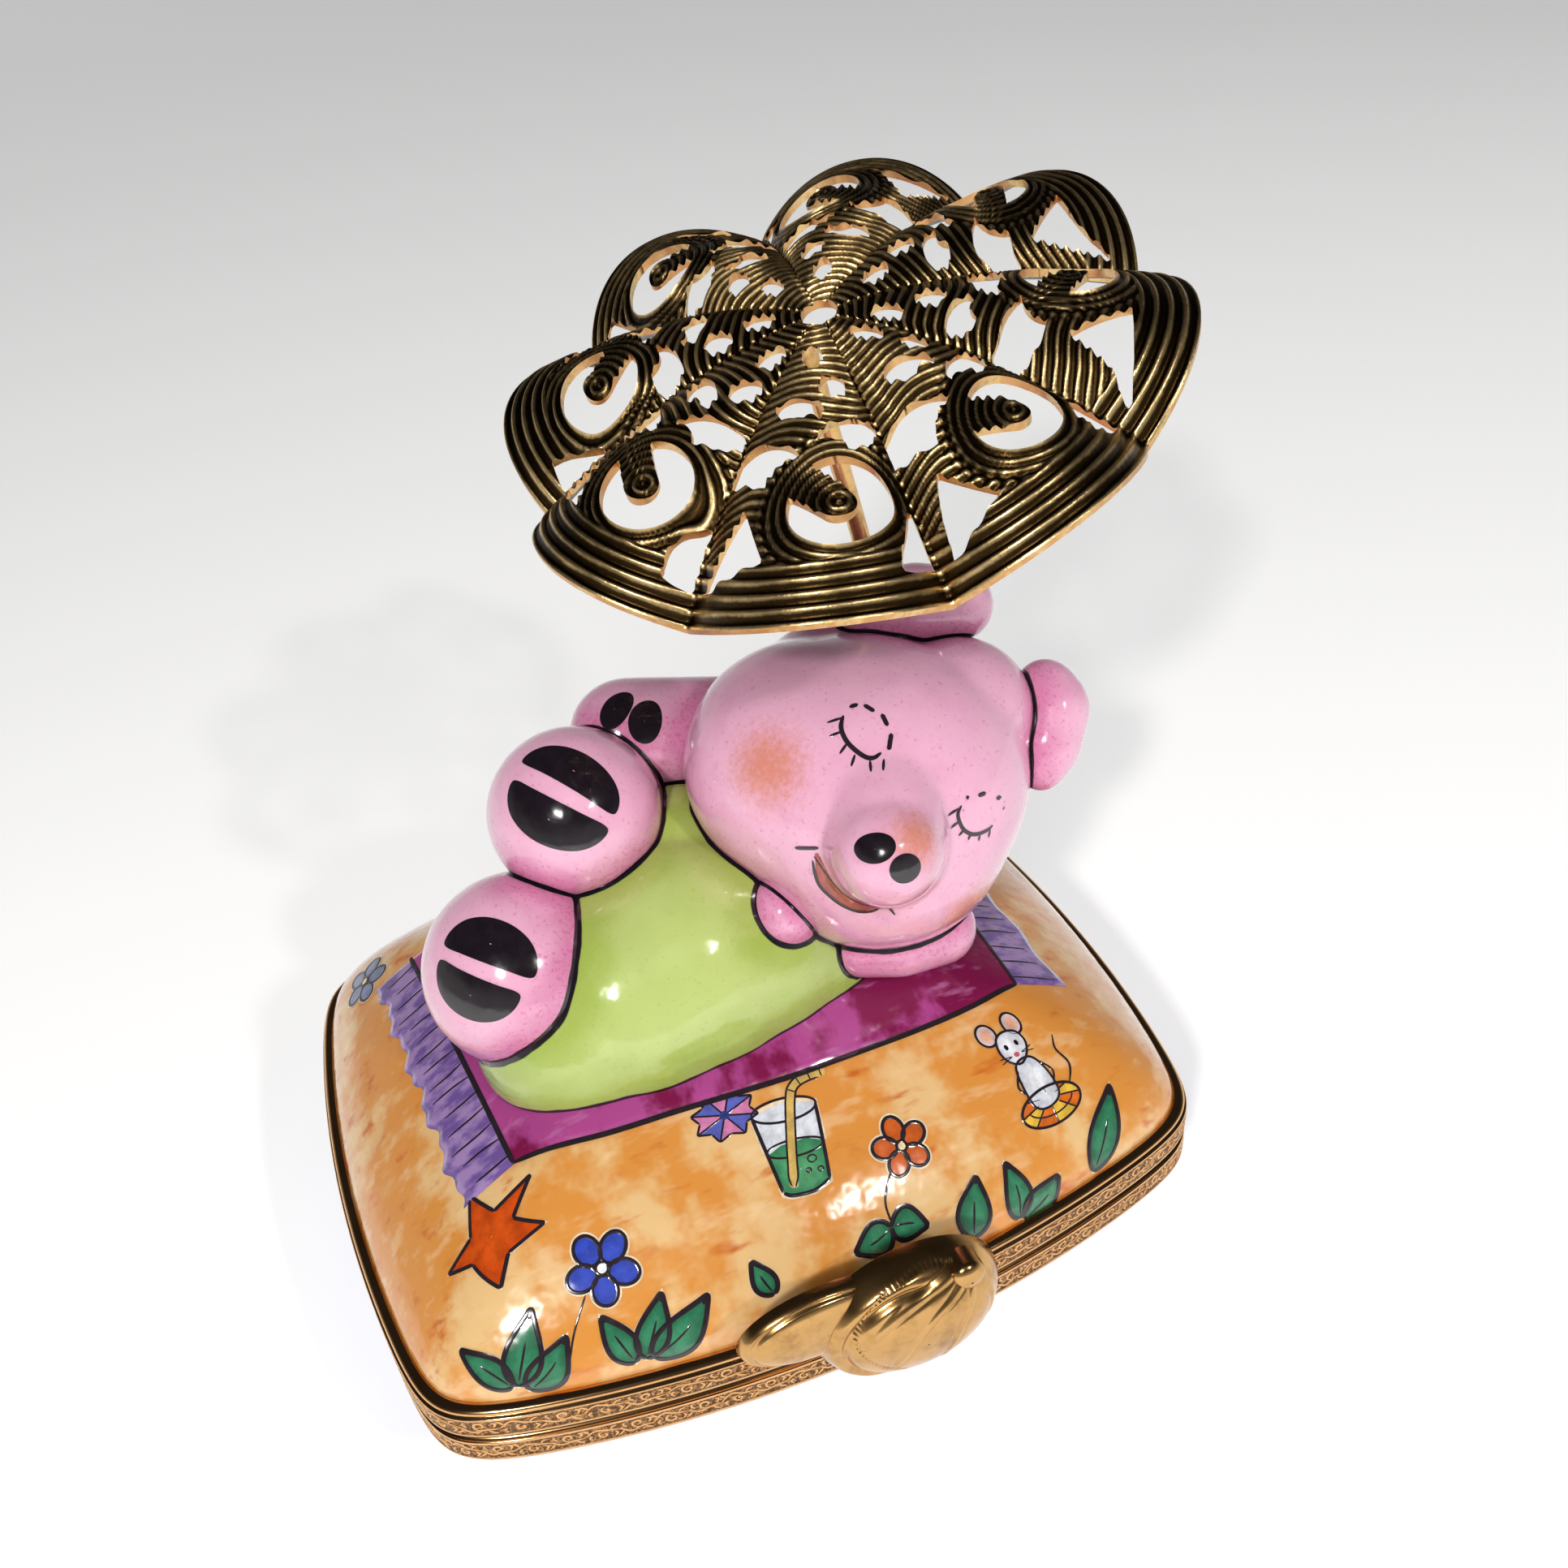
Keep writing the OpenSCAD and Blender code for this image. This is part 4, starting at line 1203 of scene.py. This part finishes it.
def on_paper(g, places):
    """Places in the head's own frame, brought onto paper on the head."""
    return np.array([g.flat(on_piece("head", [on_head(*p)], 0.0)[0]) for p in places])


def head_stroke(sheets, places, width, taper=0.15):
    g = piece_paper(sheets, "head", on_head(*np.mean(places, 0)), HEAD_UP)
    g.stroke(on_paper(g, places), width, taper, lift=0.05)


def oval_spot(sheets, name, at, rx, ry, turn):
    piece_paper(sheets, name, at, VIEW_UP).fill((0, 0), oval(0, 0, rx, ry, turn), INK, lift=0.05)


def half_sole(sheets, name, at, width, height, turn, side):
    """One half of a split oval sole: flat on one side and round on the other."""
    g = piece_paper(sheets, name, at, VIEW_UP)
    a = np.radians([4, 22, 45, 68, 90, 112, 135, 158, 176])
    x = side * width / 2 * np.concatenate([np.cos(a), [-0.86, -0.4, 0.4, 0.86]])
    y = side * height * np.concatenate([np.sin(a) ** 0.8, [0, 0, 0, 0]])
    c, s = math.cos(math.radians(turn)), math.sin(math.radians(turn))
    edge = soft_closed(np.stack([c * x - s * y, s * x + c * y], -1))
    g.fill(edge.mean(0), edge, INK, lift=0.05)


def draw_face(sheets):
    for dashes, _, _ in EYES:
        for dash in dashes:
            head_stroke(sheets, dash, 0.30, 0.05)
    for _, line, width in EYES:
        head_stroke(sheets, line, width)
    for lash in LASHES:
        head_stroke(sheets, lash, 0.19, 0.4)
    head_stroke(sheets, CHEEK_FOLD, 0.26)
    g = piece_paper(sheets, "head", on_head(0.6, -4.9, 9.0), HEAD_UP)
    mouth = on_paper(g, [*spline(SMILE, 0.3), *spline(UPPER_LIP, 0.3)])
    g.fill(mouth.mean(0), mouth, (0.42, 0.10, 0.07), (0.36, 0.07, 0.05), lift=0.03)
    head_stroke(sheets, SMILE + SMILE_END, 0.26, 0.1)
    head_stroke(sheets, UPPER_LIP, 0.19, 0.2)


def paint_pig(sheets):
    draw_face(sheets)
    for values in SPOTS:
        oval_spot(sheets, *values)
    for values in SOLES:
        half_sole(sheets, *values)
    for values in HAND_SPOTS:
        oval_spot(sheets, *values)


# ---- the parasol ----

PETAL_TURN = 360 / PETALS
SCROLL = (2.0, 14.5)
SNAP_LIMIT = 0.09


def rotation(lean_x, lean_y):
    cx, sx, cy, sy = math.cos(lean_x), math.sin(lean_x), math.cos(lean_y), math.sin(lean_y)
    about_x = np.array([[1, 0, 0], [0, cx, -sx], [0, sx, cx]])
    about_y = np.array([[cy, 0, sy], [0, 1, 0], [-sy, 0, cy]])
    return about_y @ about_x


LEAN = rotation(LEAN_X, LEAN_Y)


def swell(turn):
    """0 at a rib and 1 in the middle of a petal."""
    t = 2 * (turn / PETAL_TURN - np.floor(turn / PETAL_TURN)) - 1
    return 1 - t * t


def petal_edge(turn):
    return CANOPY_R + PETAL_OUT * swell(turn)


def radius_at(r_share, edge):
    return HUB_HOLE_R + (edge - HUB_HOLE_R) * r_share


def canopy_points(r_share, turn, drop):
    s = swell(turn)
    r = radius_at(r_share, petal_edge(turn))
    z = CANOPY_HEIGHT * (1 - r_share**1.8) + PETAL_UP * s * r_share**1.2
    a = np.radians(turn + CANOPY_TURN)
    local = np.stack([r * np.cos(a), r * np.sin(a), z - drop], -1)
    return (CANOPY_C + local @ LEAN.T).reshape(-1, 3)


def d_circle(x, y, cx, cy, r):
    return np.hypot(x - cx, y - cy) - r


def d_oval(x, y, cx, cy, rx, ry, turn):
    a = math.radians(turn)
    u = (x - cx) * math.cos(a) + (y - cy) * math.sin(a)
    v = -(x - cx) * math.sin(a) + (y - cy) * math.cos(a)
    return (np.hypot(u / rx, v / ry) - 1) * min(rx, ry)


def d_bar(x, y, ax, ay, bx, by, r):
    px, py, qx, qy = x - ax, y - ay, bx - ax, by - ay
    t = np.clip((px * qx + py * qy) / (qx * qx + qy * qy), 0, 1)
    return np.hypot(px - qx * t, py - qy * t) - r


def d_triangle(x, y, *corners):
    """Distance outside a triangle whose corners go clockwise, less its rounding."""
    worst = np.full(np.shape(x), -1e9)
    for a, b in zip(corners, corners[1:] + corners[:1]):
        way = unit(np.subtract(b, a))
        worst = np.maximum(worst, (y - a[1]) * way[0] - (x - a[0]) * way[1])
    return worst - 0.35


def open_at(x, y):
    """Below zero where a petal is cut away; y runs out from the hub and x across the petal."""
    return np.minimum.reduce([
        np.maximum(d_circle(x, y, *SCROLL, 2.75), -d_bar(x, y, 1.9, 14.6, -1.6, 12.6, 1.0)),
        d_triangle(x, y, (-5.6, 17.1), (-2.2, 17.3), (-3.6, 14.6)),
        d_triangle(x, y, (5.7, 17.0), (6.3, 16.7), (5.7, 15.2)),
        np.maximum(d_oval(x, y, -2.6, 11.6, 2.6, 1.25, 28), -d_circle(x, y, -0.9, 13.4, 1.7)),
        np.maximum(d_oval(x, y, 1.9, 9.9, 1.9, 1.0, -24), -d_circle(x, y, 0.9, 11.5, 1.1)),
        np.maximum(d_oval(x, y, -1.0, 8.2, 1.5, 0.85, 20), -d_circle(x, y, -0.5, 9.5, 0.8)),
        d_oval(x, y, 0.9, 6.6, 0.75, 0.95, 15),
        d_oval(x, y, 0.0, 4.0, 0.62, 1.0, 0),
    ])


def bent(x, y, turn, edge):
    """Each petal was bent and filed by hand, so its pattern is a little its own."""
    habits = np.random.default_rng(5).uniform(-1, 1, (PETALS, 4))
    habit = habits[(turn // PETAL_TURN).astype(int) % PETALS]
    from_rib = PETAL_TURN / 2 - np.abs(np.degrees(np.arctan2(x, y)))
    inside = smooth(from_rib, 0.5, 7.0) * smooth(edge - np.hypot(x, y), 1.2, 4.0)
    aside = 1.0 * habit[..., 0] * np.sin(0.30 * y + 3 * habit[..., 1])
    out = 0.9 * habit[..., 2] * np.cos(0.35 * x + 3 * habit[..., 3])
    return x + inside * aside, y + inside * out


def petal_places(share, turn):
    """Across and along the petal, flattened, and how far out its edge is."""
    centred = np.radians(np.mod(turn, PETAL_TURN) - PETAL_TURN / 2)
    edge = petal_edge(turn)
    r = radius_at(share, edge)
    return r * np.sin(centred), r * np.cos(centred), edge


def cut_grid(share, turn):
    """Which cells of the grid are brass, and the grid with the points at a cut moved onto it."""
    x, y, edge = petal_places(share, turn)

    def cut(x, y):
        return open_at(*bent(x, y, turn, edge))

    d = cut(x, y)
    h = 0.01
    gx = (cut(x + h, y) - cut(x - h, y)) / (2 * h)
    gy = (cut(x, y + h) - cut(x, y - h)) / (2 * h)
    size = np.maximum(np.hypot(gx, gy), 0.3)
    beside = np.roll(d, -1, 1)
    solid = (d[:-1] + d[1:] + beside[:-1] + beside[1:]) / 4 > 0

    def corners_of(cells):
        out = np.zeros_like(d, bool)
        for near in (cells, np.roll(cells, 1, 1)):
            out[:-1] |= near
            out[1:] |= near
        return out

    snap = corners_of(~solid) & corners_of(solid)
    move = np.where(snap, np.clip(-d / size, -SNAP_LIMIT, SNAP_LIMIT), 0)
    x, y = x + move * gx / size, y + move * gy / size
    petal_start = np.floor(turn / PETAL_TURN) * PETAL_TURN
    moved = np.clip(np.degrees(np.arctan2(x, y)) + PETAL_TURN / 2, 0, PETAL_TURN) + petal_start
    moved = np.where(turn == petal_start, turn, np.minimum(moved, petal_start + PETAL_TURN - 0.001))
    edge = petal_edge(moved)
    moved_share = np.clip((np.hypot(x, y) - HUB_HOLE_R) / (edge - HUB_HOLE_R), 0, 1)
    return solid, np.where(snap, moved_share, share), np.where(snap, moved, turn), edge


def ridge_wave(share, turn, edge, first_turn):
    """Fine ridges: along the rim in its band, round the hub elsewhere, bent round the scroll."""
    from_rim = (1 - share) * (edge - HUB_HOLE_R)
    x, y, _ = petal_places(share, turn)
    x, y = bent(x, y, first_turn, edge)
    scroll = np.hypot(x - SCROLL[0], y - SCROLL[1])
    around_scroll = smooth(scroll, 5.2, 3.6) * smooth(from_rim, 2.9, 3.6)
    in_rim = smooth(from_rim, 3.5, 3.1)
    phase_hub = radius_at(share, edge) / 0.62 + 0.5 * np.sin(x * 0.9 + y * 0.35)
    hub, scrolls, rim = (np.cos(2 * np.pi * phase) for phase in (phase_hub, scroll / 0.55, from_rim / 0.80))
    wave = hub * (1 - around_scroll) + scrolls * around_scroll
    return wave * (1 - in_rim) + rim * in_rim, from_rim


def build_canopy(material):
    cells, rows = 64, 230
    share, first_turn = np.meshgrid(
        np.linspace(0, 1, rows), np.arange(PETALS * cells) * PETAL_TURN / cells, indexing="ij")
    solid, share, turn, edge = cut_grid(share, first_turn)
    wave, from_rim = ridge_wave(share, turn, edge, first_turn)
    lift = 0.17 * (1 - smooth(from_rim, 0.25, 0.0)) * wave
    off_middle = np.abs(np.mod(turn, PETAL_TURN) - PETAL_TURN / 2)
    crease = smooth(off_middle, 21.2, 22.5) * smooth(share, 0.1, 0.3)
    top = canopy_points(share, turn, CANOPY_T * 0.28 - lift * (1 - 0.6 * crease))
    low = canopy_points(share, turn, CANOPY_T * 0.86)
    ridge = (0.5 + 0.5 * wave).reshape(-1)

    n, m = solid.shape[1], len(top)
    k, i = np.nonzero(solid)
    j = (i + 1) % n
    a, b, c, e = k * n + i, k * n + j, (k + 1) * n + j, (k + 1) * n + i
    padded = np.pad(solid, ((1, 1), (0, 0)))
    # walls have their own points, so that the cut edge is crisp and takes its own colour
    walls = np.concatenate([np.stack([p[~there], q[~there]], -1) for there, p, q in (
        (padded[k, i], a, b), (padded[k + 2, i], c, e), (solid[k, (i - 1) % n], e, a), (solid[k, j], b, c))])
    used, inverse = np.unique(walls, return_inverse=True)
    upper = 2 * m + inverse.reshape(walls.shape)
    lower = upper + len(used)
    quads = np.concatenate([
        np.stack([a, e, c, b], -1), np.stack([a, b, c, e], -1) + m,
        np.stack([upper[:, 0], upper[:, 1], lower[:, 1], lower[:, 0]], -1)])
    points = np.concatenate([top, low, top[used], low[used]])
    # the underside keeps a fifth of the ridge value, so it stays dark; the cut walls take the full value and
    # are bright
    ridge = np.concatenate([ridge, ridge * 0.2, np.ones(2 * len(used))])
    cut = np.concatenate([np.zeros(2 * m), np.ones(2 * len(used))])
    need, quads = np.unique(quads, return_inverse=True)
    quads = quads.reshape(-1, 4)
    obj = make_mesh("canopy_filigree", points[need], quads, material, ridge=ridge[need], cut=cut[need])
    place(obj, "lid", "old_gilt", "parasol_canopy")


# ---- the clasp's cap ----

STITCHES = [(4.6, 5.6), (3.2, 6.1), (2.0, 6.15), (0.0, 5.7), (-1.3, 4.7), (-2.1, 3.7), (-2.4, 2.8),
    (-2.3, 1.7), (-1.7, 0.6), (-0.9, -0.4), (0.6, -1.6)]
STITCH_PITCH = 0.36
SEAMS = (
    [(4.3, 5.2), (2.1, 4.95), (-0.1, 4.0), (-2.1, 2.1)],
    [(4.8, 4.4), (3.8, 4.0), (2.5, 3.3), (1.1, 1.8), (-0.1, -0.3)],
    [(5.5, 3.7), (5.1, 2.6), (4.2, 1.0), (3.3, -2.0), (3.0, -4.2)],
    [(6.4, 3.6), (7.0, 2.5), (7.2, 1.4), (6.9, -1.5)],
)


def relief_mesh(sheet, centre, long, high, height_at, around, rings):
    """A raised oval over a flat back; height_at gives its height."""
    angle = np.linspace(0, 2 * np.pi, around, endpoint=False)
    r_edge = 1 / np.hypot(np.cos(angle) / long, np.sin(angle) / high)
    rows = []

    def add(share, height_there):
        x = centre[0] + share * r_edge * np.cos(angle)
        z = centre[1] + share * r_edge * np.sin(angle)
        y = CAP_BACK_Y - height_there(x, z, share, angle)
        rows.append(np.stack([x, y * np.ones_like(x), z], -1))

    for share in np.linspace(0.004, 1, rings) ** 0.85:
        add(share, height_at)
    for share in (1, 0.004):
        add(share, lambda *_: 0)
    sheet.add(np.concatenate(rows), grid_faces(len(rows), around))


def from_line(x, z, line):
    """Distance to a line on the cap, and how far along it the nearest place is."""
    best, run = np.full(x.shape, 1e9), np.zeros(x.shape)
    for k, (px, pz) in enumerate(spline([(px, RIM_TOP + pz) for px, pz in line])):
        d = np.hypot(x - px, z - pz)
        run = np.where(d < best, k * 0.12, run)
        best = np.minimum(best, d)
    return best, run


def crown_height(x, z, share, angle):
    lean = 1 + 0.10 * ((x - CROWN_C[0]) + (z - CROWN_C[1])) / CROWN_LONG
    height = CROWN_RISE * np.maximum(0, 1 - share**2.4) ** 0.58 * lean
    inside = smooth(share, 0.96, 0.86)
    left = smooth(np.cos(angle - math.radians(165)), -0.1, 0.5)
    height = height + 0.30 * left * (hump(share, 0.88, 0.06) - hump(share, 0.755, 0.04))
    for seam in SEAMS:
        off, _ = from_line(x, z, seam)
        height = height + 0.054 * inside * (hump(off, 0, 0.20) - hump(off, 0.34, 0.13))
    off, run = from_line(x, z, STITCHES)
    dots = 0.6 + 0.4 * np.cos(2 * np.pi * run / STITCH_PITCH)
    return np.maximum(height - 0.16 * hump(off, 0, 0.13) * dots * inside, 0.02)


def brim_height(x, z, share, angle):
    dish = 1.25 * np.maximum(0, 1 - share**5) ** 0.5 + 0.35 * (1 - share**2)
    line = hump(share, 0.87, 0.09 / BRIM_HIGH)
    edge = smooth(share, 0.89, 0.93) * smooth(share, 1.0, 0.97)
    return np.maximum(dish - 0.12 * line + 0.10 * edge, 0.02)


def build_cap(material):
    sheet = Sheet()
    relief_mesh(sheet, CROWN_C, CROWN_LONG, CROWN_HIGH, crown_height, 420, 130)
    relief_mesh(sheet, BRIM_C, BRIM_LONG, BRIM_HIGH, brim_height, 260, 80)
    turn = np.linspace(0, 2 * np.pi, 64, endpoint=False)
    ups = np.linspace(0.04, 1.0, 18) * math.pi / 2
    outs = [2.25 + 0.75 * math.cos(up) for up in ups] + [1.0]
    rows = []
    for up, out in zip([*ups, ups[-1]], outs):
        r = BUTTON_R * math.sin(up)
        y = np.full_like(turn, CAP_BACK_Y - out)
        rows.append(np.stack([BUTTON[0] + r * np.cos(turn), y, BUTTON[1] + r * np.sin(turn)], -1))
    sheet.add(np.concatenate(rows), grid_faces(len(rows), 64))
    place(sheet.build("cap_relief", material), "clasp", "gilt_brass", "clasp_cap")


# ---- stage, lights and camera ----

FLOOR_HALF = 3000.0
AIM = (0, 0, 35)
LIGHTS = (  # name, place, size, power, colour, and whether metal mirrors it
    ("key", (-200, -280, 300), 30, 0.92, (1.0, 0.98, 0.95), True),
    ("spark", (120, -330, 330), 22, 0.46, (1.0, 0.98, 0.95), True),
    ("soft_front", (-70, -300, 360), 160, 0.60, (1, 1, 1), False),
    ("soft_top", (40, -40, 520), 380, 0.30, (1, 1, 1), False),
    ("soft_right", (420, -120, 180), 260, 0.15, (1, 1, 1), False),
    ("soft_back", (-420, 1100, 900), 600, 2.4, (1, 1, 1), False),
)
CAMERA_PLACE = (-20.35, -80.98, 103.5)
CAMERA_RIGHT = (0.9211, -0.3794, -0.0878)
CAMERA_UP = (0.2937, 0.5287, 0.7964)


def build_stage():
    mat = Paint("floor_paper", Roughness=0.8, Specular_IOR_Level=0.1, Emission_Strength=0.30)
    mat.set("Emission Color", (1, 1, 1))
    mat.colour(mat.mix(mat.noise(0.02, 2.0), (0.93, 0.93, 0.93), (0.91, 0.91, 0.91)))
    corners = [(x * FLOOR_HALF, y * FLOOR_HALF, 0) for x, y in ((-1, -1), (1, -1), (1, 1), (-1, 1))]
    make_mesh("floor", corners, [[0, 1, 2, 3]], mat.material)


def area_light(name, at, size, power, colour, glossy):
    data = bpy.data.lights.new(name, "AREA")
    data.shape = "DISK"
    data.size = size * MM
    data.energy = power
    data.color = colour
    obj = bpy.data.objects.new(name, data)
    at, aim = Vector(at) * MM, Vector(AIM) * MM
    obj.location = at
    obj.visible_glossy = glossy
    obj.rotation_euler = (aim - at).to_track_quat("-Z", "Y").to_euler()
    bpy.context.scene.collection.objects.link(obj)


def build_sky():
    world = bpy.data.worlds.new("studio")
    bpy.context.scene.world = world
    world.use_nodes = True
    sky = Nodes(world.node_tree)
    background = sky.tree.nodes["Background"]
    up = sky.add("SeparateXYZ", {0: sky.add("TexCoord").outputs["Generated"]}).outputs[2]
    colour = sky.mix(sky.step(up, 0.05, 0.45), (0.95, 0.92, 0.88), (0.05, 0.05, 0.055))
    sky.feed(background.inputs["Color"], colour)
    background.inputs["Strength"].default_value = 0.42


def build_camera():
    data = bpy.data.cameras.new("camera")
    data.lens = 34.65
    data.sensor_width = 36.0
    data.clip_start = 0.005
    data.clip_end = 20.0
    data.dof.use_dof = False
    obj = bpy.data.objects.new("camera", data)
    right, up = Vector(CAMERA_RIGHT), Vector(CAMERA_UP)
    back = right.cross(up).normalized()
    up = back.cross(right).normalized()
    turn = Matrix((right.normalized(), up, back)).transposed().to_4x4()
    obj.matrix_world = Matrix.Translation(Vector(CAMERA_PLACE) * MM) @ turn
    bpy.context.scene.collection.objects.link(obj)
    bpy.context.scene.camera = obj


def gild_the_rest(nodes):
    """CAD pieces that stay in view take a gilt of their own, the pole's a little paler."""
    gilt = bpy.data.materials["gilt"]
    pole_gilt = gilt_material("pole_gilt", (0.72, 0.46, 0.18), (0.35, 0.20, 0.07), 0.22)
    for name, obj in nodes.items():
        material = pole_gilt if name in ("parasol_pole", "pole_ferrule") else gilt
        if not obj.data.materials:
            obj.data.materials.append(material)
        for k in range(len(obj.data.materials)):
            obj.data.materials[k] = material


def main():
    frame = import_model()
    view = bpy.context.scene.view_settings
    view.view_transform = "Standard"
    view.look = "None"
    build_camera()
    for values in LIGHTS:
        area_light(*values)
    build_sky()
    build_stage()

    build_lid(lid_glaze_material())
    build_base(base_glaze_material())
    build_rims(etched_material())
    pink = pig_material("pig_pink", (0.78, 0.41, 0.565), (0.62, 0.21, 0.38), (0.50, 0.07, 0.20))
    green = pig_material("shirt_green", (0.47, 0.57, 0.18), (0.34, 0.44, 0.085), (0.31, 0.41, 0.08))
    build_pig(pink, green)

    sheets = paint, ink = Sheet(), Sheet()
    build_towel(towel_material(), ink)
    paint_lid(sheets)
    paint_pig(sheets)
    place(paint.build("motif_colours", paint_material()), "lid", "sand_porcelain")
    place(ink.build("motif_lines", ink_material()), "lid", "sand_porcelain")

    build_canopy(canopy_material())
    build_cap(gilt_material("gilt", (0.60, 0.35, 0.13), (0.36, 0.19, 0.065), 0.20))
    gild_the_rest(frame["nodes"])


main()
